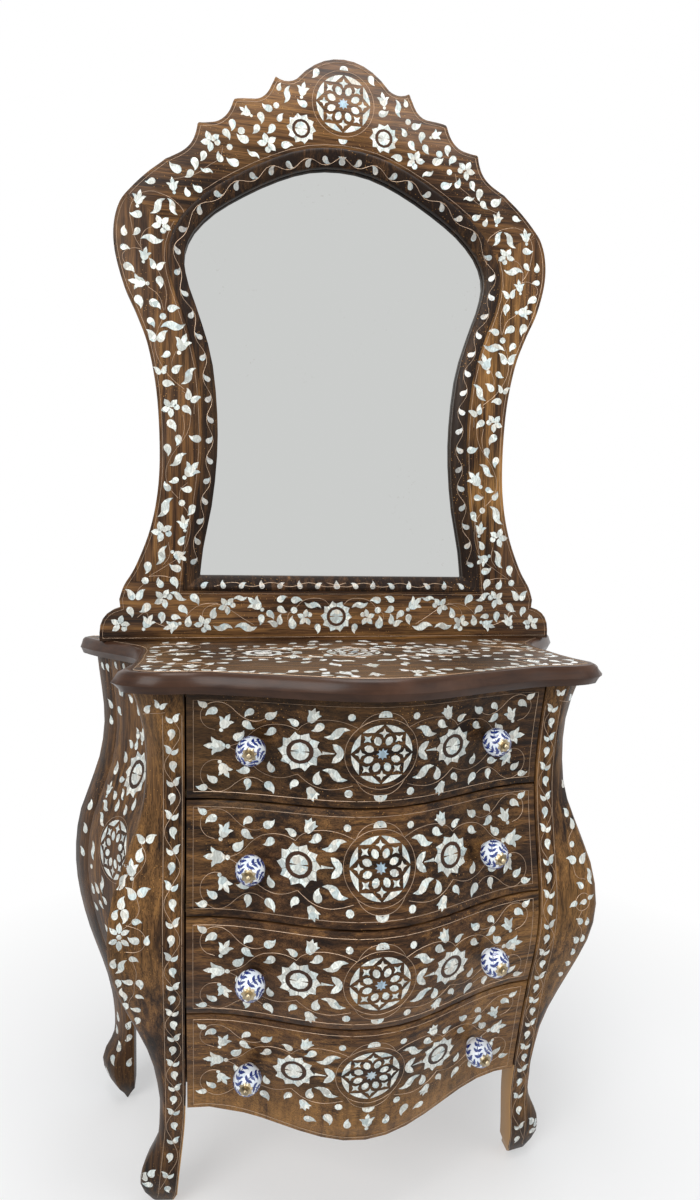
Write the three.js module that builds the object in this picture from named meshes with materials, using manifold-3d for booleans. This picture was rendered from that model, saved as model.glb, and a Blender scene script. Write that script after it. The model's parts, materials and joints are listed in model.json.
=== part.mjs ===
// Serpentine chest of four drawers that carries a shaped standing mirror.
// Millimetres, +Z up, front towards -Y, origin on the floor under the middle of the chest's depth.
import * as THREE from 'three';
import { mergeVertices } from 'three/addons/utils/BufferGeometryUtils.js';
import Module from 'manifold-3d';

const wasm = await Module();
wasm.setup();

// Clearances and cuts
const seat = 0.3;
const overrun = 6;

// Chest, overall
const topHeight = 857;
const topThickness = 28;
const overallDepth = 502;
const caseHeight = topHeight - topThickness - seat;
const rearPlane = overallDepth / 2;
const topOverhang = 30;
const rearOverhangShare = 0.77;
const lippingWidth = 13;
const earRadius = 15;

// Front face: depth at the belly, sweep back to the feet, bow of the drawers
const bellyDepth = 397;
const footSetback = 142;
const bowDepth = 76;
const frontSweepShares = [
  [0, 1.03], [0.012, 0.93], [0.036, 0.84], [0.085, 0.735], [0.15, 0.685], [0.24, 0.54],
  [0.35, 0.375], [0.448, 0.21], [0.52, 0.066], [0.58, 0], [0.635, 0.02], [0.724, 0.134],
  [0.815, 0.21], [0.905, 0.15], [1, 0.01],
];

// Side face: half width at the ankle, swell of belly and feet, flare towards the rear
const ankleHalfWidth = 295;
const sideSwell = 61;
const rearFlare = 99;
const sidePlanDepth = 350;
const sideSwellShares = [
  [0, 0.34], [0.018, 0.56], [0.05, 0.75], [0.094, 0.64], [0.121, 0.475], [0.154, 0.26], [0.18, 0.17],
  [0.239, 0.1], [0.296, 0.14], [0.33, 0.2], [0.372, 0.34], [0.438, 0.64], [0.52, 0.93], [0.59, 1],
  [0.664, 0.87], [0.722, 0.6], [0.785, 0.33], [0.845, 0.22], [0.9, 0.22], [0.95, 0.32], [1, 0.5],
];
const rearSwellShares = [
  [0, -0.35], [0.0145, -0.25], [0.052, 0.156], [0.099, 0.32], [0.15, 0], [0.22, 0], [0.292, 0.19],
  [0.353, 0.467], [0.42, 0.754], [0.505, 0.99], [0.577, 1.04], [0.65, 0.926], [0.71, 0.65],
  [0.776, 0.35], [0.837, 0.22], [0.884, 0.22], [0.979, 0.37], [1, 0.4],
];
const sidePlanShares = [
  [0, 0], [0.2, -0.12], [0.43, -0.2], [0.56, -0.1], [0.7, 0.24], [0.84, 0.64], [0.93, 0.88], [1, 1],
];

// Corner posts
const postWidth = 41;
const postInner = ankleHalfWidth - postWidth;
const stripWidth = 31;
const stripFall = 4;
const cantDepth = 24;
const cantDepthAtTop = 20;
const frontPostDepth = 60;
const legDepth = 36;
const legTaper = 14;
const toeRound = 10;
const toeHeight = 34;
const rearToeRound = 14;
const rearPostWidth = 46;
const rearPostDepth = 48;
const legDepthShares = [
  [0, 0.62], [0.04, 0.92], [0.09, 1.1], [0.15, 1], [0.3, 1.1], [0.42, 1.25], [1, 1.25],
];
const rearDepthShares = [[0, 0.3], [0.02, 0.52], [0.05, 0.85], [0.09, 1], [1, 1]];
const cornerRoundShare = 0.35;
const stripLimitShare = 0.8;
const roundOverShares = { near: 0.5, nearFall: 0.4, far: 0.75, farFall: 0.5 };
const legSteps = 13;
const caseSteps = 20;
const sideColumns = 10;

// Sides, back and carcase boards
const sideThickness = 20;
const sideBottom = 205;
const sideArch = 30;
const backThickness = 8;
const backInset = 6;
const backPlay = 2.5;
const boardThickness = 12;
const boardSetback = 3;
const boardPlay = 2;
const guideHeight = 10;
const guidePlay = 1.2;
const railDepth = 60;
const railThickness = 13;

// Drawers
const drawerReveal = 3;
const drawerPlay = 2.6;
const drawerPitch = 151.6;
const lastDrawerHeight = 170;
const apronDrop = 30;
const apronHalfShare = 0.88;
const frontThickness = 22;
const boxStandoff = 16;
const boxWall = 12;
const boxHeadroom = 8;
const boxRearGap = 12;
const bottomThickness = 6;
const bottomLift = 6;
const lastBoardLift = 38;
const drawerHalfWidth = postInner - drawerPlay;
const boxHalfWidth = postInner - boxStandoff;
const backFront = rearPlane - backInset - backThickness;
const boxRear = backFront - boxRearGap;

// Knobs
const knobPlace = 165;
const knobDiameter = 39;
const knobLength = 45;
const knobNeckDiameter = 18;
const boltDiameter = 4;
const boltPlay = 0.4;
const capDiameter = 17;
const capThickness = 1.6;
const screwHeadDiameter = 7;
const screwHeadHeight = 3;
const nutDiameter = 9;
const nutThickness = 4;
const knobHeightShares = [0.52, 0.48, 0.5, 0.49];
const knobShares = { fromShare: -0.3, toShare: 0.42, flatShare: 0.92, neckShare: 0.5 };
const capShares = { edge: 0.85, dome: 0.8, domeUp: 0.7 };

// Mirror
const mirrorHeight = 979;
const mirrorHalfWidth = 400;
const mirrorSetback = 87;
const frameThickness = 24;
const mouldingWidth = 26;
const mouldingRecess = 10;
const mouldingProud = 1.5;
const mouldingShares = { flat: 0.35, slope: 0.7, slopeFall: 0.6 };
const glassThickness = 4;
const glassRebate = 8;
const backBoardThickness = 5;
const backBoardLap = 18;
const battenWidth = 45;
const battenDepth = 20;
const battenHeight = 560;
const battenPlace = 190;
const railJointShare = 0.102;
const crestJointShares = { outerAcross: 0.88, outerUp: 0.741, innerAcross: 0.6275, innerUp: 0.684 };

// Half outline of the mirror frame, as shares of its half width and its height
const lobeShares = { sideUp: 0.015, swellAcross: 0.999, swellUp: 0.05, stepAcross: 0.916, stepUp: 0.058 };
const waistShares = [
  [0.92, 0.072], [0.9, 0.096], [0.853, 0.129], [0.795, 0.191], [0.763, 0.258], [0.755, 0.331],
  [0.767, 0.423], [0.802, 0.501], [0.848, 0.553], [0.897, 0.598], [0.93, 0.65], [0.933, 0.692],
  [0.91, 0.728], [0.865, 0.753], [0.8, 0.78], [0.727, 0.805], [0.655, 0.836], [0.598, 0.868],
];
const scallopShares = [
  { sagAcross: 0.49, sagUp: 0.879, cornerAcross: 0.453, cornerUp: 0.913 },
  { sagAcross: 0.32, sagUp: 0.926, cornerAcross: 0.285, cornerUp: 0.9575 },
  { sagAcross: 0.24, sagUp: 0.947, cornerAcross: 0.1975, cornerUp: 0.9585 },
  { sagAcross: 0.11, sagUp: 1, cornerAcross: 0, cornerUp: 1 },
];
const openingShares = [
  [0.662, 0.087], [0.64, 0.166], [0.603, 0.244], [0.583, 0.33], [0.585, 0.401],
  [0.608, 0.483], [0.657, 0.55], [0.708, 0.61], [0.722, 0.657], [0.683, 0.705], [0.588, 0.75],
  [0.46, 0.787], [0.3, 0.823], [0.15, 0.846],
];
const openingTopShare = 0.853;

// Finishes
const finishes = {
  walnut: { color: 0x6b4429, roughness: 0.45, metalness: 0 },
  darkWalnut: { color: 0x2e1d16, roughness: 0.35, metalness: 0 },
  insideWood: { color: 0x9c7448, roughness: 0.75, metalness: 0 },
  ceramic: { color: 0xe8ecf2, roughness: 0.12, metalness: 0 },
  brass: { color: 0xb08a45, roughness: 0.3, metalness: 1 },
  glass: { color: 0xb9bdc0, roughness: 0.03, metalness: 1 },
};

const part = new THREE.Group();

function add(name, geometry, finish) {
  const mesh = new THREE.Mesh(geometry, new THREE.MeshStandardMaterial(finishes[finish]));
  mesh.name = name;
  part.add(mesh);
}

// A smooth curve through [place, value] pairs, flat beyond both ends
function curveThrough(pairs) {
  const slope = (i) => {
    const before = pairs[Math.max(i - 1, 0)];
    const after = pairs[Math.min(i + 1, pairs.length - 1)];
    return (after[1] - before[1]) / (after[0] - before[0]);
  };
  return (place) => {
    if (place <= pairs[0][0]) return pairs[0][1];
    for (let i = 1; i < pairs.length; i += 1) {
      const [x0, y0] = pairs[i - 1];
      const [x1, y1] = pairs[i];
      if (place <= x1) {
        const run = x1 - x0;
        const t = (place - x0) / run;
        const rise = (y1 - y0) * t * t * (3 - 2 * t);
        return y0 + rise + run * t * (1 - t) * (slope(i - 1) * (1 - t) - slope(i) * t);
      }
    }
    return pairs[pairs.length - 1][1];
  };
}

const mix = (a, b, share) => a + (b - a) * share;
const steps = (count) => Array.from({ length: count + 1 }, (unused, i) => i / count);
const mirrored = (points) => points.map(([x, y]) => [-x, y]).reverse();

// The curved faces of the chest
const frontSweep = curveThrough(frontSweepShares);
const swell = curveThrough(sideSwellShares);
const rearSwell = curveThrough(rearSwellShares);
const sidePlan = curveThrough(sidePlanShares);
const legDepthAt = curveThrough(legDepthShares);
const rearDepthAt = curveThrough(rearDepthShares);

function frontFace(z) {
  return rearPlane - bellyDepth + footSetback * frontSweep(z / caseHeight);
}

function drawerFace(x, z) {
  const bow = (1 + Math.cos(Math.PI * Math.min(Math.abs(x) / postInner, 1))) / 2;
  return frontFace(z) - bowDepth * bow;
}

function sideFace(y, z) {
  const along = (y - (rearPlane - sidePlanDepth)) / sidePlanDepth;
  const up = z / caseHeight;
  const swollen = mix(swell(up), rearSwell(up), THREE.MathUtils.smoothstep(along, 0, 1));
  return ankleHalfWidth + sideSwell * swollen + rearFlare * sidePlan(along);
}

function postRear(z) {
  return frontFace(z) + mix(legDepth, frontPostDepth, legSpread(z)) * legDepthAt(z / caseHeight);
}

function legSpread(z) {
  return THREE.MathUtils.smoothstep(z, sideBottom - sideArch, sideBottom + sideArch);
}

// Closed solids from rings of points, capped by their own outline seen along one axis
function loft(rings, flat = (p) => new THREE.Vector2(p.x, p.y)) {
  const count = rings[0].length;
  const positions = rings.flat().flatMap((p) => [p.x, p.y, p.z]);
  const faces = [];
  for (let r = 0; r + 1 < rings.length; r += 1) {
    for (let i = 0; i < count; i += 1) {
      const a = r * count + i;
      const b = r * count + ((i + 1) % count);
      faces.push([a, b, b + count], [a, b + count, a + count]);
    }
  }
  const last = (rings.length - 1) * count;
  const cap = (ring) => THREE.ShapeUtils.triangulateShape(ring.map(flat), []);
  const towards = (ring, tri) => Math.sign(
    tri.reduce((sum, k, i) => sum + cross(flat(ring[k]), flat(ring[tri[(i + 1) % 3]])), 0));
  const turn = Math.sign(THREE.ShapeUtils.area(rings[0].map(flat)));
  const endTurn = Math.sign(THREE.ShapeUtils.area(rings[rings.length - 1].map(flat)));
  for (const tri of cap(rings[0])) {
    const [a, b, c] = tri;
    faces.push(towards(rings[0], tri) === turn ? [a, c, b] : [a, b, c]);
  }
  for (const tri of cap(rings[rings.length - 1])) {
    const [a, b, c] = tri.map((k) => k + last);
    faces.push(towards(rings[rings.length - 1], tri) === endTurn ? [a, b, c] : [a, c, b]);
  }
  return facing(positions, faces);
}

function cross(a, b) {
  return a.x * b.y - a.y * b.x;
}

// A closed loop of equal sections, such as a moulding round an opening
function loop(sections) {
  const count = sections[0].length;
  const positions = sections.flat().flatMap((p) => [p.x, p.y, p.z]);
  const faces = [];
  for (let s = 0; s < sections.length; s += 1) {
    for (let i = 0; i < count; i += 1) {
      const next = ((s + 1) % sections.length) * count;
      const a = s * count + i;
      const b = s * count + ((i + 1) % count);
      const c = next + ((i + 1) % count);
      const d = next + i;
      faces.push([a, b, c], [a, c, d]);
    }
  }
  return facing(positions, faces);
}

function facing(positions, faces) {
  const at = (k) => new THREE.Vector3().fromArray(positions, 3 * k);
  const volume = faces.reduce((sum, [a, b, c]) => sum + at(a).dot(at(b).cross(at(c))), 0);
  const index = faces.flatMap(([a, b, c]) => (volume < 0 ? [a, c, b] : [a, b, c]));
  const geometry = new THREE.BufferGeometry();
  geometry.setAttribute('position', new THREE.Float32BufferAttribute(positions, 3));
  geometry.setIndex(index);
  geometry.computeVertexNormals();
  return geometry;
}

// Boards: an outline in plan, in elevation or in side view, with a thickness
function shapeOf(points) {
  return new THREE.Shape(points.map(([x, y]) => new THREE.Vector2(x, y)));
}

function planBoard(points, bottom, thickness) {
  const geometry = new THREE.ExtrudeGeometry(shapeOf(points), { depth: thickness, bevelEnabled: false });
  return geometry.translate(0, 0, bottom);
}

function frontBoard(points, front, thickness) {
  const geometry = new THREE.ExtrudeGeometry(shapeOf(points), { depth: thickness, bevelEnabled: false });
  return geometry.rotateX(Math.PI / 2).translate(0, front + thickness, 0);
}

function sideBoard(points, left, thickness) {
  const geometry = new THREE.ExtrudeGeometry(shapeOf(points), { depth: thickness, bevelEnabled: false });
  return geometry.rotateX(Math.PI / 2).rotateZ(Math.PI / 2).translate(left, 0, 0);
}

function block(x0, x1, y0, y1, z0, z1) {
  const geometry = new THREE.BoxGeometry(x1 - x0, y1 - y0, z1 - z0);
  return geometry.translate((x0 + x1) / 2, (y0 + y1) / 2, (z0 + z1) / 2);
}

// Joins and cuts
function solid(geometry) {
  const bare = new THREE.BufferGeometry();
  bare.setAttribute('position', geometry.getAttribute('position').clone());
  if (geometry.index) bare.setIndex(geometry.index.clone());
  const merged = mergeVertices(bare);
  const vertProperties = new Float32Array(merged.getAttribute('position').array);
  const triVerts = new Uint32Array(merged.index.array);
  return new wasm.Manifold(new wasm.Mesh({ numProp: 3, vertProperties, triVerts }));
}

function geometryOf(manifold) {
  const mesh = manifold.getMesh();
  const geometry = new THREE.BufferGeometry();
  geometry.setAttribute('position', new THREE.Float32BufferAttribute(mesh.vertProperties, 3));
  geometry.setIndex(Array.from(mesh.triVerts));
  geometry.computeVertexNormals();
  return geometry;
}

function flipped(geometry) {
  const { index } = geometry;
  const positions = Array.from(geometry.getAttribute('position').array, (v, i) => (i % 3 === 0 ? -v : v));
  const faceOf = (unused, i) => [0, 1, 2].map((k) => index.array[3 * i + k]);
  return facing(positions, Array.from({ length: index.count / 3 }, faceOf));
}

function onBothSides(name, geometry, finish) {
  add(`${name}_right`, geometry, finish);
  add(`${name}_left`, flipped(geometry), finish);
}

// Corner posts with their legs and feet
function legInner(z) {
  const taper = legTaper * (1 - THREE.MathUtils.smoothstep(z, 0, sideBottom));
  return postInner + taper + toeRound * (1 - THREE.MathUtils.smoothstep(z, 0, toeHeight));
}

function frontPostRing(z) {
  const front = frontFace(z);
  const rear = postRear(z);
  const topShare = THREE.MathUtils.smoothstep(z, caseHeight - drawerPitch, caseHeight);
  const spread = legSpread(z);
  const cornerY = front + mix(Math.min(cantDepth, (rear - front) / 2), cantDepth, spread)
    + cantDepthAtTop * topShare;
  const cornerX = sideFace(cornerY, z);
  const inner = legInner(z);
  const stripX = Math.min(inner + stripWidth, mix(inner, cornerX, stripLimitShare));
  const stripY = front + stripFall;
  const roundX = mix(cornerX, stripX, cornerRoundShare);
  const roundY = mix(cornerY, stripY, cornerRoundShare) - stripFall;
  const backY = mix(cornerY, rear, cornerRoundShare);
  const { near, nearFall, far, farFall } = roundOverShares;
  return [
    [inner, front], [stripX, stripY], [mix(stripX, roundX, near), mix(stripY, roundY, nearFall)],
    [roundX, roundY], [mix(roundX, cornerX, far), mix(roundY, cornerY, farFall)], [cornerX, cornerY],
    [sideFace(backY, z), backY], [sideFace(rear, z), rear], [inner, rear],
  ].map(([x, y]) => new THREE.Vector3(x, y, z));
}

function rearPostFront(z) {
  return rearPlane - rearPostDepth * rearDepthAt(z / caseHeight);
}

function rearPostInner(z) {
  const beside = mix(sideFace(rearPlane, sideBottom), sideFace(rearPlane, z), legSpread(z));
  return beside - rearPostWidth + rearToeRound * (1 - THREE.MathUtils.smoothstep(z, 0, toeHeight));
}

function rearPostRing(z) {
  const front = rearPostFront(z);
  const inner = rearPostInner(z);
  const cornerY = mix(rearPlane, front, cornerRoundShare / 2);
  const middleY = (front + cornerY) / 2;
  return [
    [inner, front], [sideFace(front, z), front], [sideFace(middleY, z), middleY],
    [sideFace(cornerY, z), cornerY], [sideFace(rearPlane, z) - stripFall, rearPlane],
    [inner, rearPlane],
  ].map(([x, y]) => new THREE.Vector3(x, y, z));
}

function makePosts() {
  const legHeights = steps(legSteps).slice(0, -1).map((share) => sideBottom * share);
  const heights = [...legHeights, ...steps(caseSteps).map((share) => mix(sideBottom, caseHeight, share))];
  onBothSides('front_post', loft(heights.map(frontPostRing)), 'walnut');
  onBothSides('rear_post', loft(heights.map(rearPostRing)), 'walnut');
}

// Side panels, which carry on the posts' curved faces
function sideFloor(along) {
  return sideBottom + sideArch * Math.sin(Math.PI * along);
}

function makeSides() {
  const rows = steps(caseSteps);
  const columns = steps(sideColumns);
  const rings = rows.map((up) => {
    const at = (along) => {
      const z = mix(sideFloor(along), caseHeight, up);
      const y = mix(postRear(z) + seat, rearPostFront(z) - seat, along);
      return { y, z };
    };
    const outside = columns.map((along) => {
      const { y, z } = at(along);
      return new THREE.Vector3(sideFace(y, z), y, z);
    });
    const inside = [...columns].reverse().map((along) => {
      const { y, z } = at(along);
      return new THREE.Vector3(sideFace(y, z) - sideThickness, y, z);
    });
    return [...outside, ...inside];
  });
  onBothSides('side_panel', loft(rings), 'walnut');
}

// The back fits between the rear posts and follows their inner faces
function makeBack() {
  const bottom = sideBottom + sideArch;
  const rightEdge = steps(14).map((share) => {
    const z = mix(bottom, caseHeight, share);
    return [rearPostInner(z) - backPlay, z];
  });
  const outline = [...rightEdge, ...mirrored(rightEdge)];
  add('back_panel', frontBoard(outline, backFront, backThickness), 'insideWood');
}

// Heights of the drawers and of the dust boards that they run on
function drawerTop(n) {
  return caseHeight - drawerReveal - n * drawerPitch;
}

function drawerBottom(n) {
  return n === 3 ? drawerTop(n) - lastDrawerHeight : drawerTop(n) - drawerPitch + drawerReveal;
}

function boardTop(n) {
  return n === 3 ? drawerBottom(n) + lastBoardLift : drawerBottom(n) + (boardThickness - drawerReveal) / 2;
}

function boardOutline(low, high) {
  const heights = [low, (low + high) / 2, high];
  const furthest = (f) => Math.max(...heights.map(f));
  const nearest = (f) => Math.min(...heights.map(f));
  const half = postInner - seat;
  const front = steps(8).map((share) => {
    const x = half * share;
    return [x, furthest((z) => drawerFace(x, z)) + frontThickness + boardSetback];
  });
  const behindPost = furthest(postRear) + boardSetback;
  const beforeRear = nearest(rearPostFront) - boardSetback;
  const sides = steps(8).map((share) => {
    const y = mix(behindPost, beforeRear, share);
    return [nearest((z) => sideFace(y, z)) - sideThickness - boardPlay, y];
  });
  const besidePost = nearest(rearPostInner) - boardSetback;
  const rearX = Math.min(besidePost, sides[sides.length - 1][0]);
  const rearY = backFront - seat;
  const right = [...front, [half, behindPost], ...sides, [rearX, beforeRear], [rearX, rearY]];
  return [...right, ...mirrored(right.slice(1))];
}

function makeDustBoard(n) {
  const top = boardTop(n);
  const bottom = top - boardThickness;
  let board = solid(planBoard(boardOutline(bottom, top + guideHeight), bottom, boardThickness));
  const guideInner = boxHalfWidth + guidePlay;
  const guideFront = Math.max(postRear(top), postRear(top + guideHeight)) + boardSetback;
  for (const side of [-1, 1]) {
    const xs = [side * guideInner, side * (guideInner + boxWall)].sort((a, b) => a - b);
    const low = top - boardThickness / 2;
    board = board.add(solid(block(xs[0], xs[1], guideFront, boxRear, low, top + guideHeight)));
  }
  add(`dust_board_${n + 1}`, geometryOf(board), 'insideWood');
}

function makeTopRail() {
  const bottom = caseHeight - railThickness;
  const front = Math.max(frontFace(bottom), frontFace(caseHeight)) + frontThickness + boardSetback;
  const half = postInner - seat;
  add('top_rail', block(-half, half, front, front + railDepth, bottom, caseHeight), 'insideWood');
}

// A drawer front, cut to the bow and the sweep, with the last one's apron
function frontEdge(n, x) {
  if (n < 3) return drawerBottom(n);
  const along = Math.min(Math.abs(x) / (drawerHalfWidth * apronHalfShare), 1);
  return drawerBottom(n) - apronDrop * (1 + Math.cos(Math.PI * along)) / 2;
}

function frontSolid(n) {
  const columns = steps(16).map((share) => mix(-drawerHalfWidth, drawerHalfWidth, share));
  const rings = steps(n < 3 ? 5 : 7).map((up) => {
    const height = (x) => mix(frontEdge(n, x), drawerTop(n), up);
    const face = columns.map((x) => new THREE.Vector3(x, drawerFace(x, height(x)), height(x)));
    const back = [...face].reverse().map((p) => p.clone().setY(p.y + frontThickness));
    return [...face, ...back];
  });
  return solid(loft(rings));
}

function knobSeatY(z) {
  return Math.min(...rimFaces(z, knobNeckDiameter / 2)) - seat;
}

function nutSeatY(z) {
  return Math.max(...rimFaces(z, nutDiameter / 2)) + frontThickness + seat;
}

// The face under the rim of a round piece that is held at the knob's place
function rimFaces(z, reach) {
  const places = [-1, 0, 1].map((i) => knobPlace + i * reach);
  return places.flatMap((x) => [drawerFace(x, z - reach), drawerFace(x, z + reach)]);
}

function knobHeight(n) {
  return mix(drawerBottom(n), drawerTop(n), knobHeightShares[n]);
}

function makeDrawer(n) {
  const name = `drawer_${n + 1}`;
  const floor = boardTop(n) + seat;
  const boxTop = drawerTop(n) - boardThickness / 2 - boxHeadroom;
  const front = frontSolid(n);
  const against = front.translate([0, seat, 0]);
  const reach = (x, z) => drawerFace(x, z) + frontThickness - overrun;

  const holes = [-1, 1].map((side) => {
    const shank = new THREE.CylinderGeometry(boltDiameter / 2 + boltPlay, boltDiameter / 2 + boltPlay,
      bowDepth + frontThickness, 10);
    return solid(shank.translate(side * knobPlace, drawerFace(knobPlace, knobHeight(n)), knobHeight(n)));
  });
  add(`${name}_front`, geometryOf(holes.reduce((rest, hole) => rest.subtract(hole), front)), 'walnut');

  const wallFront = steps(4).map((share) => {
    const z = mix(boxTop, floor, share);
    return [reach(boxHalfWidth, z), z];
  });
  const wallOutline = [[boxRear, floor], [boxRear, boxTop], ...wallFront];
  const wall = sideBoard(wallOutline, boxHalfWidth - boxWall, boxWall);
  const fitted = geometryOf(solid(wall).subtract(against));
  onBothSides(`${name}_side`, fitted, 'insideWood');

  const half = boxHalfWidth - boxWall - seat;
  const panelLow = floor + bottomLift;
  const panelTop = panelLow + bottomThickness;
  const panelFront = steps(14).map((share) => {
    const x = mix(-half, half, share);
    return [x, reach(x, panelLow)];
  });
  const panel = planBoard([...panelFront, [half, boxRear], [-half, boxRear]], panelLow, bottomThickness);
  add(`${name}_bottom`, geometryOf(solid(panel).subtract(against)), 'insideWood');
  const backWall = block(-half, half, boxRear - boxWall, boxRear, panelTop + seat, boxTop);
  add(`${name}_back`, backWall, 'insideWood');
}

// Ceramic knob turned round the bolt that holds it
function makeKnobs(n) {
  const z = knobHeight(n);
  const start = knobSeatY(z);
  const ball = knobDiameter / 2;
  const neck = knobNeckDiameter / 2;
  const bore = boltDiameter / 2 + boltPlay;
  const { fromShare, toShare, flatShare, neckShare } = knobShares;
  const middle = knobLength - ball * flatShare;
  const rim = steps(6).map((share) => {
    const angle = Math.PI * mix(fromShare, toShare, share);
    return [ball * Math.cos(angle), middle + ball * flatShare * Math.sin(angle)];
  });
  const nose = rim[rim.length - 1][1];
  const waist = [neck * flatShare, neck * neckShare];
  const profile = [[bore, 0], [neck, 0], waist, ...rim, [bore, nose], [bore, 0]];
  const bolt = boltDiameter / 2;
  const nut = nutDiameter / 2;
  const cap = capDiameter / 2;
  const head = screwHeadDiameter / 2;
  const nutFrom = start - nutSeatY(z);
  const capFrom = nose + seat;
  const capTo = capFrom + capThickness;
  const boltProfile = [
    [0, nutFrom - nutThickness], [nut, nutFrom - nutThickness], [nut, nutFrom], [bolt, nutFrom],
    [bolt, capFrom], [cap, capFrom], [cap * capShares.edge, capTo], [head, capTo],
    [head * capShares.dome, capTo + screwHeadHeight * capShares.domeUp], [0, capTo + screwHeadHeight],
  ];
  const turned = (points, count) => new THREE.LatheGeometry(
    points.map(([r, h]) => new THREE.Vector2(r, h)), count).rotateX(Math.PI);
  for (const [side, word] of [[-1, 'left'], [1, 'right']]) {
    const placed = (points, count) => geometryOf(
      solid(turned(points, count).translate(side * knobPlace, start, z)));
    add(`knob_${n + 1}_${word}`, placed(profile, 14), 'ceramic');
    add(`knob_bolt_${n + 1}_${word}`, placed(boltProfile, 10), 'brass');
  }
}

// The top: an inlaid field inside a dark moulded lipping that reaches round the front and both sides
const frontLipShares = [[0, 1], [0.25, 1], [0.5, 1.05], [0.72, 1.1], [0.88, 0.95], [1, 0.85]];
const frontPlaceShares = [1, 0.88, 0.74, 0.6, 0.45, 0.3, 0.15, 0];
const sideOverhangShares = [[0.86, 1], [0.72, 1], [0.58, 0.95], [0.43, 0.9], [0.28, 0.72], [0.14, 0.42]];
const earShares = { rearIn: 0.4, rearDown: 2.1, backOut: 0.26, backUp: 1.5, tipOut: 0.12, tipUp: 3.4 };
const lippingProfileShares = [
  [0, 0], [0.5, 0.05], [0.88, 0.2], [1, 0.38], [0.97, 0.55], [0.7, 0.68], [0.5, 1], [0, 1],
];

function topEdge() {
  const lip = curveThrough(frontLipShares);
  const wide = sideFace(rearPlane, caseHeight) + topOverhang * rearOverhangShare;
  const frontSide = rearPlane - sidePlanDepth;
  const slopeOf = (f, at) => (f(at + overrun) - f(at - overrun)) / (2 * overrun);
  const rows = [
    [wide - earRadius * earShares.rearIn, rearPlane, -1, 0],
    [wide, rearPlane - earRadius, -1, 0.1],
    [wide - earRadius / 2, rearPlane - earRadius * earShares.rearDown, -0.85, 0.75],
  ];
  for (const [share, out] of sideOverhangShares) {
    const y = mix(frontSide, rearPlane, share);
    const slope = slopeOf((at) => sideFace(at, caseHeight), y);
    const length = Math.hypot(1, slope);
    const overhang = topOverhang * out / length;
    rows.push([sideFace(y, caseHeight) + overhang, y - slope * overhang, -1 / length, slope / length]);
  }
  const cornerX = sideFace(frontSide, caseHeight);
  const cornerY = frontFace(caseHeight) + cantDepth + cantDepthAtTop;
  const { backOut, backUp, tipOut, tipUp } = earShares;
  rows.push([cornerX + topOverhang * backOut, cornerY - earRadius * backUp, -1, 0.35]);
  rows.push([cornerX + topOverhang * tipOut, cornerY - earRadius * tipUp, -0.7, 0.8]);
  const middleX = (postInner + cornerX) / 2;
  rows.push([middleX, frontFace(caseHeight) - topOverhang * lip(1), -0.2, 1]);
  for (const share of frontPlaceShares) {
    const x = postInner * share;
    const y = drawerFace(x, caseHeight) - topOverhang * lip(share);
    const slope = share === 1 || share === 0 ? 0 : slopeOf((at) => drawerFace(at, caseHeight), x);
    const length = Math.hypot(1, slope);
    rows.push([x, y, -slope / length, 1 / length]);
  }
  return rows;
}

function topOutlines() {
  const rows = topEdge();
  const edge = rows.map(([x, y]) => new THREE.Vector3(x, y, 0));
  const field = rows.map(([x, y, inX, inY]) => (
    new THREE.Vector3(x + inX * lippingWidth, y + inY * lippingWidth, 0)));
  const smooth = (right) => {
    const left = right.slice(0, -1).reverse().map((p) => new THREE.Vector3(-p.x, p.y, 0));
    const curve = new THREE.CatmullRomCurve3([...right, ...left], false, 'centripetal');
    const count = (right.length + left.length - 1) * 2;
    return steps(count).map((share) => curve.getPoint(share));
  };
  return { edge: smooth(edge), field: smooth(field) };
}

function makeTop() {
  const { edge, field } = topOutlines();
  const bottom = topHeight - topThickness;
  const sections = edge.map((outer, i) => lippingProfileShares.map(([out, down]) => new THREE.Vector3(
    mix(field[i].x, outer.x, out), mix(field[i].y, outer.y, out), topHeight - topThickness * down)));
  add('top_lipping', loft(sections, (p) => new THREE.Vector2(p.x, p.z)), 'darkWalnut');
  const inner = field.map((p, i) => {
    const towards = new THREE.Vector2(p.x - edge[i].x, p.y - edge[i].y).setLength(seat);
    const atRear = i === 0 || i === field.length - 1;
    return [p.x + towards.x, atRear ? rearPlane : p.y + towards.y];
  });
  add('top_panel', planBoard(inner, bottom, topThickness), 'walnut');
}

// Mirror outlines, seen from the front
const acrossMirror = (share) => mirrorHalfWidth * share;
const upMirror = (share) => topHeight + seat + mirrorHeight * share;

function frameHalf() {
  const path = new THREE.Path();
  const { sideUp, swellAcross, swellUp, stepAcross, stepUp } = lobeShares;
  path.moveTo(acrossMirror(1), upMirror(0));
  path.lineTo(acrossMirror(1), upMirror(sideUp));
  path.quadraticCurveTo(acrossMirror(swellAcross), upMirror(swellUp),
    acrossMirror(stepAcross), upMirror(stepUp));
  path.lineTo(acrossMirror(waistShares[0][0]), upMirror(waistShares[0][1]));
  path.splineThru(waistShares.slice(1).map(([a, u]) => new THREE.Vector2(acrossMirror(a), upMirror(u))));
  for (const s of scallopShares) {
    path.quadraticCurveTo(acrossMirror(s.sagAcross), upMirror(s.sagUp),
      acrossMirror(s.cornerAcross), upMirror(s.cornerUp));
  }
  return path.getPoints(5).map((p) => [p.x, p.y]);
}

function frameOutline() {
  const half = frameHalf();
  const step = (i) => Math.hypot(half[i][0] - half[i - 1][0], half[i][1] - half[i - 1][1]);
  const right = half.filter((unused, i) => i === 0 || step(i) > seat);
  return [...right, ...mirrored(right.slice(0, -1))];
}

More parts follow.
